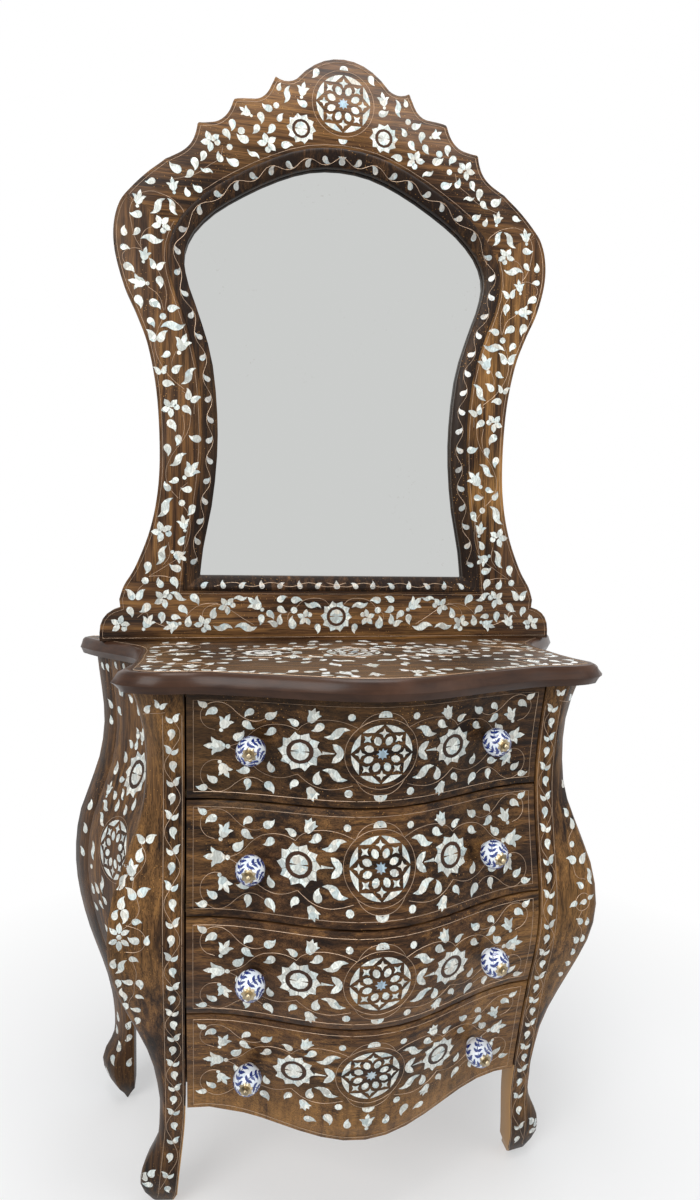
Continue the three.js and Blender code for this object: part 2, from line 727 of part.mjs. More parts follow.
function openingOutline(distance = 0) {
  const right = openingShares.map(([a, u]) => [acrossMirror(a), upMirror(u)]);
  const corners = [...right, [0, upMirror(openingTopShare)], ...mirrored(right)];
  const points = inset(corners, distance).map(([x, y]) => new THREE.Vector3(x, y, 0));
  const curve = new THREE.CatmullRomCurve3(points, false, 'centripetal');
  return curve.getPoints(points.length * 2).map((p) => [p.x, p.y]);
}

// An outline moved inwards by a distance, or outwards by a negative one
function inset(points, distance) {
  const area = points.reduce((sum, [x, y], i) => {
    const [nx, ny] = points[(i + 1) % points.length];
    return sum + x * ny - nx * y;
  }, 0);
  const side = Math.sign(area) * distance;
  return points.map(([x, y], i) => {
    const [px, py] = points[(i + points.length - 1) % points.length];
    const [nx, ny] = points[(i + 1) % points.length];
    const before = new THREE.Vector2(x - px, y - py).normalize();
    const after = new THREE.Vector2(nx - x, ny - y).normalize();
    const normal = new THREE.Vector2(-before.y - after.y, before.x + after.x).normalize();
    const stretch = normal.x * -before.y + normal.y * before.x;
    return [x + normal.x * side / stretch, y + normal.y * side / stretch];
  });
}

const mirrorFront = rearPlane - mirrorSetback;

// The frame's four boards, cut from one outline along their joints
function makeFrameBoards() {
  const opening = openingOutline();
  const whole = solid(frontBoard(frameOutline(), mirrorFront, frameThickness))
    .subtract(solid(frontBoard(opening, mirrorFront - overrun, frameThickness + 2 * overrun)));
  const far = mirrorHalfWidth + overrun;
  const railTop = upMirror(railJointShare);
  const joint = crestJointShares;
  const slope = (upMirror(joint.outerUp) - upMirror(joint.innerUp))
    / (acrossMirror(joint.outerAcross) - acrossMirror(joint.innerAcross));
  const jointAt = (x) => upMirror(joint.innerUp) + slope * (Math.abs(x) - acrossMirror(joint.innerAcross));
  const topEnd = upMirror(1) + overrun;
  const low = upMirror(0) - overrun;
  const cutBoard = (points) => geometryOf(whole.intersect(
    solid(frontBoard(points, mirrorFront - overrun, frameThickness + 2 * overrun))));
  add('mirror_bottom_rail', cutBoard([[-far, low], [far, low], [far, railTop], [-far, railTop]]), 'walnut');
  const stile = [[0, railTop + seat], [far, railTop + seat], [far, jointAt(far)], [0, jointAt(0)]];
  onBothSides('mirror_stile', cutBoard(stile), 'walnut');
  const crest = [[far, jointAt(far) + seat], [far, topEnd], [-far, topEnd], [-far, jointAt(far) + seat],
    [0, jointAt(0) + seat]];
  add('mirror_crest', cutBoard(crest), 'walnut');
}

function makeMirrorInside() {
  const outer = openingOutline(seat);
  const sight = openingOutline(mouldingWidth);
  const shelf = openingOutline(mouldingWidth - glassRebate);
  const front = mirrorFront - mouldingProud;
  const glassFront = mirrorFront + frameThickness - glassThickness - seat;
  const at = (p, y) => new THREE.Vector3(p[0], y, p[1]);
  const { flat, slope, slopeFall } = mouldingShares;
  const between = (a, b, share) => [mix(a[0], b[0], share), mix(a[1], b[1], share)];
  const sections = sight.map((edge, i) => [
    at(outer[i], front), at(between(outer[i], shelf[i], flat), front),
    at(between(outer[i], edge, slope), front + mouldingRecess * slopeFall),
    at(edge, front + mouldingRecess), at(edge, glassFront - seat), at(outer[i], glassFront - seat),
  ]);
  add('mirror_inner_moulding', loop(sections), 'darkWalnut');
  add('mirror_glass', frontBoard(shelf, glassFront, glassThickness), 'glass');
  const boardFront = mirrorFront + frameThickness + seat;
  const lap = openingOutline(-backBoardLap);
  add('mirror_back_board', frontBoard(lap, boardFront, backBoardThickness), 'insideWood');
  const battenFront = boardFront + backBoardThickness + seat;
  const foot = topHeight + seat;
  const inner = battenPlace - battenWidth / 2;
  const batten = block(inner, inner + battenWidth, battenFront, battenFront + battenDepth,
    foot, foot + battenHeight);
  onBothSides('mirror_batten', geometryOf(solid(batten)), 'insideWood');
}

makePosts();
makeSides();
makeBack();
makeTop();
makeTopRail();
for (let n = 0; n < 4; n += 1) {
  makeDustBoard(n);
  makeDrawer(n);
  makeKnobs(n);
}
makeFrameBoards();
makeMirrorInside();

export default part;
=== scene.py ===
"""Looks of a serpentine walnut chest with a standing mirror: wood, pearl and wire inlay, knobs, glass."""

import json
import math
from contextlib import contextmanager

import bmesh
import bpy
from bpy.props import FloatProperty, FloatVectorProperty, PointerProperty
from mathutils import Matrix, Vector

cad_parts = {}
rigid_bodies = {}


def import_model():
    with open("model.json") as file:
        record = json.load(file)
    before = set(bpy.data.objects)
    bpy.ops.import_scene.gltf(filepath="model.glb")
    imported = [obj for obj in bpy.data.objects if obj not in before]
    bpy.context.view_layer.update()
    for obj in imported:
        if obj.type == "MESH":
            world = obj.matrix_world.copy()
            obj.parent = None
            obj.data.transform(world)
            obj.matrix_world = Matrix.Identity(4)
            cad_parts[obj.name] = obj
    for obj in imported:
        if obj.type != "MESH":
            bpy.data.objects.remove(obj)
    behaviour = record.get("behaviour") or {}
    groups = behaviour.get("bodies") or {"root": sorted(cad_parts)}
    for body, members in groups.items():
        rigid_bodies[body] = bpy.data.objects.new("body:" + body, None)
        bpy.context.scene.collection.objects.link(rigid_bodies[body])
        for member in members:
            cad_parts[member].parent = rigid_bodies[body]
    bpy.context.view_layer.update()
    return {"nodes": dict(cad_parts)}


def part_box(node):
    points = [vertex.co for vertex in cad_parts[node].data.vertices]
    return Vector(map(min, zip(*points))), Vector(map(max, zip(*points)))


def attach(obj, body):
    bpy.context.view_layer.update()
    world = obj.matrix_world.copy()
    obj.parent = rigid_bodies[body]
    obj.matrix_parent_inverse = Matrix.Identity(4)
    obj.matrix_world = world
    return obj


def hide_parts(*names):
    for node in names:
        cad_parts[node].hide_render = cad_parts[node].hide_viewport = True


bl_info = {
    "name": "Serpentine chest with mirror",
    "version": (1, 0, 0),
    "blender": (4, 5, 0),
    "location": "View3D > Sidebar > Chest",
    "description": "Dresses the frame of an inlaid walnut chest with its finishes, inlay, knobs and studio",
    "category": "Object",
}

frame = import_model()
NODES = frame["nodes"]
MM = 0.001
# In metres: points this near count as one, where flat pieces are laid out, how far wire stands proud
WELD = 0.00002
DRAWING_PLANE = -0.3
WIRE_PROUD = 0.00005
DRAWERS = (1, 2, 3, 4)
SIDES = {"left": -1, "right": 1}


def colour(name, value, text):
    return FloatVectorProperty(name=name, description=text, default=value, size=3, subtype="COLOR",
                               min=0, max=1)


def length(name, value, text):
    return FloatProperty(name=name, description=text, default=value, unit="LENGTH", subtype="DISTANCE")


class ChestFinishes(bpy.types.PropertyGroup):
    walnut_dark: colour("Walnut, dark", (0.014, 0.0065, 0.0035), "Dark streaks of the walnut")
    walnut_mid: colour("Walnut, middle", (0.11, 0.051, 0.0205), "Usual tone of the walnut")
    # Golden tone of worn parts; on the right mirror stile it also stands as a painted warm glare
    walnut_gold: colour("Walnut, golden", (0.42, 0.21, 0.062), "Worn golden parts of the walnut")
    stained: colour("Stained walnut", (0.03, 0.0135, 0.008), "Moulded edge of the top and mirror moulding")
    bare_wood: colour("Bare wood", (0.42, 0.24, 0.1), "Inner faces of the front legs")
    plain_wood: colour("Plain wood", (0.42, 0.26, 0.13), "Boards inside and behind")
    pearl: colour("Pearl", (0.735, 0.755, 0.695), "Mother of pearl")
    wire: colour("Wire", (0.52, 0.38, 0.27), "Thin inlaid wire")
    glaze: colour("Glaze", (0.84, 0.87, 0.9), "White glaze of the knobs")
    cobalt: colour("Cobalt", (0.005, 0.013, 0.12), "Painted leaves of the knobs")
    brass: colour("Brass", (0.5, 0.41, 0.27), "Caps and screws of the knobs")
    glass: colour("Glass", (0.6, 0.61, 0.6), "Silvered glass")


class ChestInlay(bpy.types.PropertyGroup):
    pearl_proud: length("Pearl stands proud", 0.00025, "How far the pearl stands over the wood")
    pearl_thickness: length("Pearl thickness", 0.0006, "Thickness of a pearl piece")
    wire_width: length("Wire width", 0.00075, "Width of the inlaid wire")
    border: length("Border", 0.009, "From a drawer's edge to its border wire")
    edge_round: length("Edge rounding", 0.0012, "Rounding of the boards' edges")


class ChestStudio(bpy.types.PropertyGroup):
    key: FloatProperty(name="Key light", description="Power of the large soft light", default=74, min=0)
    fill: FloatProperty(name="Fill light", description="Power of the light opposite", default=20, min=0)
    overhead: FloatProperty(name="Overhead light", description="Power of the one above", default=62, min=0)
    floor: colour("Floor", (0.86, 0.86, 0.86), "Colour of the floor")


def settings():
    scene = bpy.context.scene
    return scene.chest_finishes, scene.chest_inlay, scene.chest_studio


# Selection and edit-mode steps

def clear_selection():
    if bpy.context.object and bpy.context.object.mode != "OBJECT":
        bpy.ops.object.mode_set(mode="OBJECT")
    bpy.ops.object.select_all(action="DESELECT")


def pick(obj):
    clear_selection()
    obj.select_set(True)
    bpy.context.view_layer.objects.active = obj
    return obj


@contextmanager
def editing(obj):
    """Edit mode that starts with everything selected."""
    pick(obj)
    bpy.ops.object.mode_set(mode="EDIT")
    bpy.ops.mesh.select_all(action="SELECT")
    yield
    bpy.ops.object.mode_set(mode="OBJECT")


def select_where(test):
    mesh = bmesh.from_edit_mesh(bpy.context.object.data)
    for vertex in mesh.verts:
        vertex.select_set(False)
    mesh.select_flush(False)
    for vertex in mesh.verts:
        if test(vertex.co):
            vertex.select_set(True)
    mesh.select_flush(True)
    bmesh.update_edit_mesh(bpy.context.object.data)


def apply_modifier(obj, kind, **values):
    pick(obj)
    modifier = obj.modifiers.new(kind.title(), kind)
    for name, value in values.items():
        setattr(modifier, name, value)
    bpy.ops.object.modifier_apply(modifier=modifier.name)


def joined(objects, name):
    pick(objects[0])
    for obj in objects:
        obj.select_set(True)
    if len(objects) > 1:
        bpy.ops.object.join()
    obj = bpy.context.object
    obj.name = name
    obj.data.name = name
    return obj


def added(name, data):
    obj = bpy.data.objects.new(name, data)
    bpy.context.scene.collection.objects.link(obj)
    return obj


def discard(*objects):
    for obj in objects:
        bpy.data.objects.remove(obj)


def copied(obj, matrix):
    piece = added(obj.name, obj.data.copy())
    piece.data.transform(matrix)
    return piece


def across(factor):
    """Scales from side to side; minus one mirrors."""
    return Matrix.Scale(factor, 4, Vector((1, 0, 0)))


def turned_over(obj):
    """The piece mirrored across the chest's middle."""
    obj.data.transform(across(-1))
    if obj.data.polygons:
        obj.data.flip_normals()
    return obj


def with_mirror(obj):
    """The piece joined with its mirror image across the chest's middle."""
    return joined([obj, turned_over(copied(obj, Matrix.Identity(4)))], obj.name)


def both(rows):
    """Pieces laid out on the left, joined and mirrored."""
    return with_mirror(joined(rows, "half"))


def facing_front(obj):
    if obj.data.polygons[0].normal.y > 0:
        obj.data.flip_normals()
    return obj


def disc(vertices, radius, place=(0, 0, 0), fill="NGON"):
    """A circle in an upright plane."""
    clear_selection()
    bpy.ops.mesh.primitive_circle_add(vertices=vertices, radius=radius, fill_type=fill,
                                      rotation=(math.pi / 2, 0, 0), location=place)
    bpy.ops.object.transform_apply(location=True, rotation=True, scale=False)
    return bpy.context.object


def face_outwards():
    bpy.ops.mesh.select_all(action="SELECT")
    bpy.ops.mesh.normals_make_consistent(inside=False)


def turned(name, stations, segments):
    """A round body along the front axis: a disc extruded from one station to the next."""
    first, radius = stations[0]
    obj = disc(segments, radius * MM, (0, -first * MM, 0))
    obj.name = name
    with editing(obj):
        for along, wide in stations[1:]:
            bpy.ops.mesh.extrude_region_move()
            bpy.ops.transform.translate(value=(0, (first - along) * MM, 0))
            bpy.ops.transform.resize(value=(wide / radius, 1, wide / radius),
                                     center_override=(0, -along * MM, 0))
            first, radius = along, wide
        face_outwards()
    return obj


def coated(obj, material):
    obj.data.materials.clear()
    obj.data.materials.append(material)


def finished(obj, body, material, angle=30):
    pick(obj)
    if obj.data.polygons:
        bpy.ops.object.shade_smooth_by_angle(angle=math.radians(angle))
    coated(obj, material)
    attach(obj, body)
    return obj


# Materials

def opaque(tone):
    return (*tone, 1) if hasattr(tone, "__len__") else (tone, tone, tone, 1)


def times(tone, factor):
    return tuple(min(1, factor * v) for v in tone)


def between(first, second, share):
    return tuple((1 - share) * a + share * b for a, b in zip(first, second))


class Tree:
    """Adds nodes to a tree and links them by name."""

    def __init__(self, tree):
        self.tree = tree

    def feed(self, socket, value):
        if isinstance(value, bpy.types.NodeSocket):
            self.tree.links.new(value, socket)
        else:
            socket.default_value = value

    def add(self, kind, inputs=None, **values):
        node = self.tree.nodes.new(kind)
        for name, value in values.items():
            setattr(node, name, value)
        for name, value in (inputs or {}).items():
            self.feed(node.inputs[name], value)
        return node

    def ranged(self, value, start, stop, low, high, **values):
        return self.add("ShaderNodeMapRange", {"Value": value, "From Min": start, "From Max": stop,
                                               "To Min": low, "To Max": high}, **values).outputs[0]

    def calc(self, operation, *values):
        return self.add("ShaderNodeMath", dict(enumerate(values)), operation=operation).outputs[0]


class Nodes(Tree):
    """A material under construction."""

    def __init__(self, name):
        self.material = bpy.data.materials.new(name)
        self.material.use_nodes = True
        super().__init__(self.material.node_tree)
        self.shader = self.tree.nodes["Principled BSDF"]
        self.place = self.add("ShaderNodeTexCoord").outputs["Object"]

    def along(self, axis):
        return self.add("ShaderNodeSeparateXYZ", {"Vector": self.place}).outputs[axis]

    def stretched(self, scale):
        return self.add("ShaderNodeMapping", {"Vector": self.place, "Scale": scale}).outputs["Vector"]

    def noise(self, vector, scale, detail=5, roughness=0.55, distortion=0):
        return self.add("ShaderNodeTexNoise", {
            "Vector": vector, "Scale": scale, "Detail": detail, "Roughness": roughness,
            "Distortion": distortion}).outputs["Fac"]

    def cells(self, vector, scale):
        return self.add("ShaderNodeTexVoronoi", {"Vector": vector, "Scale": scale, "Randomness": 1}).outputs

    def ramp(self, value, stops):
        node = self.add("ShaderNodeValToRGB", {"Fac": value})
        ramp = node.color_ramp
        while len(ramp.elements) < len(stops):
            ramp.elements.new(1)
        for element, (at, tone) in zip(ramp.elements, stops):
            element.position = at
            element.color = opaque(tone)
        return node.outputs["Color"]

    def blend(self, share, first, second, mode="MIX"):
        node = self.add("ShaderNodeMix", {0: share}, data_type="RGBA", blend_type=mode)
        for place, value in ((6, first), (7, second)):
            self.feed(node.inputs[place], value if isinstance(value, bpy.types.NodeSocket) else opaque(value))
        return node.outputs[2]

    def multiplied(self, first, second):
        return self.blend(1, first, second, "MULTIPLY")

    def span(self, value, low, high):
        return self.ranged(value, 0, 1, low, high)

    def bump(self, height, strength, distance):
        normal = self.add("ShaderNodeBump", {"Height": height, "Strength": strength, "Distance": distance})
        self.feed(self.shader.inputs["Normal"], normal.outputs["Normal"])

    def finish(self, **inputs):
        for name, value in inputs.items():
            self.feed(self.shader.inputs[name.replace("_", " ")], value)
        return self.material


# Scales of the bands, the streaks and the pores, with the grain along each axis
GRAIN = {
    "x": ((1, 14, 14), (5, 120, 120), (30, 1100, 1100)),
    "z": ((14, 14, 1), (120, 120, 5), (1100, 1100, 30)),
}
# Grain, share of worn gold, how much darker than usual, strength of the bands; on the top, the moulding, the
# right stile and the rear posts these values also paint light and shade, as noted below
WALNUTS = {
    "drawer_1_front": ("x", 0.2, 0.16, 0.7),
    "drawer_2_front": ("x", 0.45, 0.05, 0.7),
    "drawer_3_front": ("x", 0.8, -0.03, 0.65),
    "drawer_4_front": ("x", 1, -0.1, 0.65),
    # The top's extra darkness is painted shade, offsetting the overhead lamp
    "top_panel": ("x", 0.3, 0.15, 0.6),
    "mirror_crest": ("x", 0.35, -0.01, 0.55),
    "mirror_stile_left": ("z", 0.3, 0.02, 0.55),
    # The right stile's full gold and lighter tone are a painted warm glare from a lamp on the right
    "mirror_stile_right": ("z", 1, -0.08, 0.5),
    "mirror_bottom_rail": ("x", 0.6, 0, 0.5),
    # The moulding's extra darkness is painted shade of the hollow round the glass's arch
    "mirror_inner_moulding": ("z", 0.1, 0.23, 0.5),
    "front_post_left": ("z", 0.5, 0.03, 0.7),
    "front_post_right": ("z", 0.8, 0.12, 0.7),
    "side_panel": ("z", 0.35, 0.02, 0.9),
    # The rear posts' extra darkness is painted shade, as they stand back in shadow
    "rear_post": ("z", 0.1, 0.12, 0.8),
}
# Front strips and the bare inner faces of the legs, in millimetres: where they lie, the heights from
# which the leg and its toe run in towards the middle, and by how much each does
STRIP_EDGE = 254
LEG_TOP = 205
TOE_TOP = 34
LEG_TAPER = 14
TOE_TAPER = 10
BARE_MARGIN = 1.5


def walnut(name, along, gold, darker, contrast):
    """Figured walnut with the grain along one axis: bands, fine streaks, pores and worn golden specks,
    darkened towards the floor as painted shade.
    """
    finishes = settings()[0]
    dark, middle, golden = finishes.walnut_dark, finishes.walnut_mid, finishes.walnut_gold
    broad, fine, pore = GRAIN[along]
    m = Nodes(name)
    bands = m.noise(m.stretched(broad), 0.75, detail=4, roughness=0.62, distortion=1.1)
    streaks = m.noise(m.stretched(fine), 1, detail=7, roughness=0.66, distortion=0.3)
    patches = m.noise(m.place, 2.6, detail=4, roughness=0.6, distortion=0.6)
    reach, fine_reach = 1.5 * contrast, 1.8 - 0.5 * contrast
    figure = m.blend(0.45, m.span(bands, 0.5 - reach, 0.5 + reach),
                     m.span(streaks, 0.5 - fine_reach, 0.5 + fine_reach))
    wood = m.ramp(figure, [(0.26 + darker, dark), (0.45 + darker, between(dark, middle, 0.4)),
                           (0.6 + darker, middle), (0.92, between(middle, golden, 0.38))])
    # Golden patches: wear, and on the right stile, where the gold share is full, a painted warm glare
    wear_and_glare = m.ramp(m.blend(0.35, patches, streaks), [(0.47, 0), (0.66, gold)])
    height = m.along("Z")
    if "drawer 4" in name:
        rubbed = m.ranged(height, 0.2, 0.285, 0.75, 0)
        marks = m.noise(m.stretched((60, 30, 9)), 1, detail=5, roughness=0.7)
        marks = m.ramp(marks, [(0.34, 0), (0.62, 1)])
        wear_and_glare = m.blend(1, wear_and_glare, m.multiplied(rubbed, marks), "LIGHTEN")
    wood = m.blend(wear_and_glare, wood, golden)
    pores = m.noise(m.stretched(pore), 1, detail=2, roughness=0.5)
    lines = m.ramp(pores, [(0.38, 0), (0.5, 1)])
    wood = m.multiplied(wood, m.span(lines, 0.4, 1))
    dots = m.ramp(m.cells(m.place, 210)["Distance"], [(0.1, 1), (0.17, 0)])
    rare = m.ramp(m.noise(m.place, 9, detail=2), [(0.46, 0), (0.62, 1)])
    wood = m.blend(m.multiplied(dots, rare), wood, golden)
    # Painted shade: the wood darkens towards the floor, on the feet
    wood = m.multiplied(wood, m.ranged(height, 0.02, 0.19, 0.42, 1))
    if name.startswith("Walnut, front post"):
        wood = m.blend(inner_face(m, height), wood, finishes.bare_wood)
    m.bump(m.blend(0.5, lines, streaks), 0.25, 0.0006)
    return m.finish(Base_Color=wood, Roughness=m.span(m.blend(0.5, streaks, patches), 0.28, 0.55),
                    Coat_Weight=0.03, Coat_Roughness=0.18, Specular_IOR_Level=0.12)


def inner_face(m, height):
    """One on the bare face of a front leg towards the chest's middle, and nought elsewhere."""
    line = (STRIP_EDGE + BARE_MARGIN) * MM
    edge = m.ranged(height, 0, LEG_TOP * MM, line + LEG_TAPER * MM, line, interpolation_type="SMOOTHSTEP")
    toe = m.ranged(height, 0, TOE_TOP * MM, TOE_TAPER * MM, 0, interpolation_type="SMOOTHSTEP")
    inside = m.calc("LESS_THAN", m.calc("ABSOLUTE", m.along("X")), m.calc("ADD", edge, toe))
    return m.calc("MULTIPLY", inside, m.calc("LESS_THAN", height, LEG_TOP * MM))


def stained_walnut():
    m = Nodes("Stained walnut")
    streaks = m.noise(m.stretched((6, 60, 120)), 1, detail=6, distortion=0.3)
    rubbed = m.noise(m.place, 14, detail=5)
    wood = m.ramp(streaks, [(0.35, settings()[0].stained), (0.75, (0.06, 0.026, 0.013))])
    wood = m.blend(m.ramp(rubbed, [(0.5, 0), (0.75, 0.7)]), wood, (0.09, 0.043, 0.026))
    m.bump(streaks, 0.12, 0.0005)
    return m.finish(Base_Color=wood, Roughness=m.span(rubbed, 0.22, 0.42), Coat_Weight=0.08,
                    Coat_Roughness=0.14, Specular_IOR_Level=0.14)


def plain_wood():
    m = Nodes("Plain wood")
    rings = m.noise(m.stretched((2.5, 30, 30)), 1, detail=6, distortion=1.2)
    fine = m.noise(m.stretched((25, 500, 500)), 1, detail=3)
    base = settings()[0].plain_wood
    wood = m.ramp(rings, [(0.3, times(base, 0.55)), (0.55, base), (0.75, times(base, 1.25))])
    m.bump(fine, 0.25, 0.0006)
    return m.finish(Base_Color=m.multiplied(wood, m.span(fine, 0.72, 1.1)),
                    Roughness=m.span(rings, 0.6, 0.82))


def pearl(name="Mother of pearl", tint=(1, 1, 1)):
    """Shell in small facets, each with its own tint, and fine curved bands."""
    m = Nodes(name)
    wobble = m.noise(m.place, 60, detail=2)
    moved = m.add("ShaderNodeVectorMath", {0: m.place, 1: (0.004, 0.004, 0.004)}, operation="ADD")
    facets = m.cells(moved.outputs[0], 105)
    hue = m.add("ShaderNodeSeparateColor", {"Color": facets["Color"]}).outputs
    base = tuple(a * b for a, b in zip(settings()[0].pearl, tint))
    shade = m.blend(m.span(hue[0], 0, 1), times(base, 0.58), times(base, 1.2))
    cool = m.blend(m.ramp(hue[1], [(0.45, 0), (1, 0.5)]), shade, (0.42, 0.58, 0.62))
    warm = m.blend(m.ramp(hue[2], [(0.6, 0), (1, 0.4)]), cool, (0.78, 0.66, 0.52))
    bands = m.add("ShaderNodeTexWave", {"Vector": m.place, "Scale": 60, "Distortion": 9, "Detail": 3,
                                        "Detail Scale": 2.5}).outputs["Fac"]
    m.bump(m.blend(0.5, facets["Distance"], wobble), 0.25, 0.0006)
    return m.finish(Base_Color=m.multiplied(warm, m.span(bands, 0.84, 1.08)),
                    Roughness=m.span(hue[0], 0.16, 0.34), Coat_Weight=0.35, Coat_Roughness=0.06,
                    Specular_IOR_Level=0.7)


def metal(name, base, low, high, dark):
    m = Nodes(name)
    cloud = m.noise(m.place, 240, detail=5)
    tarnish = m.noise(m.place, 70, detail=3)
    shade = m.blend(m.ramp(tarnish, [(0.42, 0), (0.75, 1)]), base, times(base, dark))
    m.bump(cloud, 0.15, 0.0002)
    return m.finish(Base_Color=shade, Metallic=1.0, Roughness=m.span(cloud, low, high))


def glaze():
    m = Nodes("White glaze")
    cloud = m.noise(m.place, 90, detail=3)
    skin = m.noise(m.place, 260, detail=2)
    shade = m.blend(m.ramp(cloud, [(0.4, 0), (0.7, 1)]), settings()[0].glaze, (0.7, 0.78, 0.88))
    m.bump(skin, 0.12, 0.0003)
    return m.finish(Base_Color=shade, Roughness=m.span(skin, 0.06, 0.16), Coat_Weight=0.7,
                    Coat_Roughness=0.03)


def cobalt_paint():
    m = Nodes("Cobalt painting")
    wash = m.noise(m.place, 420, detail=3)
    shade = m.blend(m.ramp(wash, [(0.35, 0), (0.7, 1)]), settings()[0].cobalt, (0.02, 0.055, 0.26))
    m.bump(wash, 0.1, 0.0002)
    return m.finish(Base_Color=shade, Roughness=m.span(wash, 0.08, 0.18), Coat_Weight=0.7,
                    Coat_Roughness=0.03)


def silvered_glass():
    m = Nodes("Silvered glass")
    haze = m.noise(m.place, 7, detail=4)
    spots = m.noise(m.place, 160, detail=3)
    aged = m.multiplied(m.ramp(haze, [(0.55, 0), (0.75, 1)]), m.ramp(spots, [(0.64, 0), (0.72, 0.4)]))
    shade = m.blend(aged, settings()[0].glass, (0.42, 0.4, 0.36))
    return m.finish(Base_Color=shade, Metallic=1.0, Roughness=m.span(haze, 0.005, 0.03))


# Flat motif shapes, each one unit long, seen from the front with the tip upwards

OUTLINES = {
    "leaf": [(0, -0.5), (0.19, -0.43), (0.3, -0.28), (0.32, -0.09), (0.28, 0.08), (0.25, 0.22),
             (0.25, 0.34), (0.33, 0.5), (0.1, 0.42), (-0.1, 0.29), (-0.24, 0.1), (-0.31, -0.11),
             (-0.29, -0.31), (-0.17, -0.45)],
    "comma": [(0, -0.5), (0.22, -0.43), (0.34, -0.27), (0.37, -0.07), (0.34, 0.1), (0.36, 0.25),
              (0.52, 0.5), (0.2, 0.44), (-0.08, 0.31), (-0.27, 0.12), (-0.37, -0.1), (-0.34, -0.32),
              (-0.2, -0.46)],
    "crescent": [(0.5, -0.3), (0.5, -0.12), (0.4, 0.08), (0.22, 0.22), (0, 0.27), (-0.22, 0.22),
                 (-0.4, 0.08), (-0.5, -0.12), (-0.5, -0.3), (-0.25, -0.24), (0, -0.06), (0.25, -0.24)],
    "petal": [(0, -0.5), (0.18, -0.36), (0.27, -0.1), (0.24, 0.16), (0.05, 0.5), (-0.2, 0.24),
              (-0.27, 0), (-0.2, -0.32)],
    "tulip": [(-0.1, -0.5), (0.1, -0.5), (0.26, -0.32), (0.3, -0.1), (0.46, 0.14), (0.28, 0.14),
              (0.15, 0.06), (0.14, 0.26), (0.02, 0.5), (-0.13, 0.26), (-0.14, 0.05), (-0.28, 0.12),
              (-0.47, 0.1), (-0.3, -0.1), (-0.26, -0.32)],
    "bell": [(-0.14, -0.5), (0.12, -0.5), (0.24, -0.3), (0.3, -0.02), (0.42, 0.22), (0.26, 0.2),
             (0.14, 0.44), (0, 0.28), (-0.16, 0.5), (-0.26, 0.22), (-0.44, 0.2), (-0.3, -0.04),
             (-0.26, -0.3)],
    "moon": [(0.5, -0.22), (0.47, 0), (0.35, 0.18), (0.13, 0.28), (-0.13, 0.28), (-0.35, 0.18),
             (-0.47, 0), (-0.5, -0.22)],
    "spear": [(-0.16, -0.5), (0.16, -0.5), (0.1, -0.2), (0.03, 0.5), (-0.03, 0.5), (-0.1, -0.2)],
}
LONG_SIDE = [(-0.22, -0.5), (-0.02, -0.42), (0.12, -0.28), (0.19, -0.1), (0.16, 0.08), (0.12, 0.22),
             (0.13, 0.36)]
OUTLINES["long"] = LONG_SIDE + [(-x, -z) for x, z in LONG_SIDE]


def polar(*points):
    return [(reach * math.sin(math.radians(at)), reach * math.cos(math.radians(at))) for reach, at in points]


def round_of(*reaches):
    """Points at equal angles round the middle."""
    return polar(*[(reach, 360 * k / len(reaches)) for k, reach in enumerate(reaches)])


OUTLINES["dot"] = round_of(*[0.5] * 8)
OUTLINES["star"] = round_of(*[0.5, 0.15 * math.sqrt(2)] * 4)
OUTLINES["seed"] = [(0, 0.5), (0.26, 0.32), (0.37, 0), (0.26, -0.32), (0, -0.5), (-0.26, -0.32), (-0.37, 0),
                    (-0.26, 0.32)]
# Parts of round motifs, one unit from the middle to the rim
OUTLINES["flame"] = polar((0.64, -14.4), (0.64, 0), (0.64, 14.4), (0.83, 14.6), (0.87, 9), (1.04, 3),
                          (0.95, -3), (0.88, -9), (0.83, -14.6))
OUTLINES["half"] = polar((0.05, -90), (0.43, -84), (0.44, -60), (0.46, -32), (0.47, 0), (0.46, 32),
                         (0.44, 60), (0.43, 84), (0.05, 90))
OUTLINES["rim"] = polar((1, -20.6), (1, -13), (1, -4.5), (1, 4.5), (1, 13), (1, 20.6), (0.8, 0))
OUTLINES["spark"] = round_of(*[0.5, 0.3] * 8)
FLAMES = 10
# Dark ring of a sunburst: inner and outer edge as shares of the radius
EBONY_RING = (0.48, 0.62)
# Points of an outline already placed wait this far aside
ASIDE = 20


def outline(name, points):
    """A circle whose points are moved one by one onto the outline, then filled towards its middle."""
    obj = disc(len(points), 0.5)
    obj.name = name
    starts = [v.co.copy() for v in obj.data.vertices]
    with editing(obj):
        for start, (x, z) in zip(starts, points):
            select_where(lambda p: (p - start).length < 0.0001)
            bpy.ops.transform.translate(value=(x - start.x, ASIDE, z - start.z))
        bpy.ops.mesh.select_all(action="SELECT")
        bpy.ops.transform.translate(value=(0, -ASIDE, 0))
        bpy.ops.mesh.poke()
    clear_selection()
    return facing_front(obj)


SHAPES = {}


def make_shapes():
    for name, points in OUTLINES.items():
        SHAPES[name] = outline(name, points)


def drop_shapes():
    discard(*SHAPES.values())
    SHAPES.clear()


# Pieces laid out in the drawing plane, at places across and up in millimetres

def laid(shape, x, z, size, towards, wide=1.0, curl=1):
    """One piece; its tip points towards an angle in degrees, anticlockwise from the right."""
    place = Matrix.Translation((x * MM, DRAWING_PLANE, z * MM))
    turn = Matrix.Rotation(math.radians(90 - towards), 4, "Y")
    piece = copied(SHAPES[shape], place @ turn @ Matrix.Diagonal((size * MM * wide * curl, 1, size * MM, 1)))
    if curl < 0:
        piece.data.flip_normals()
    return piece


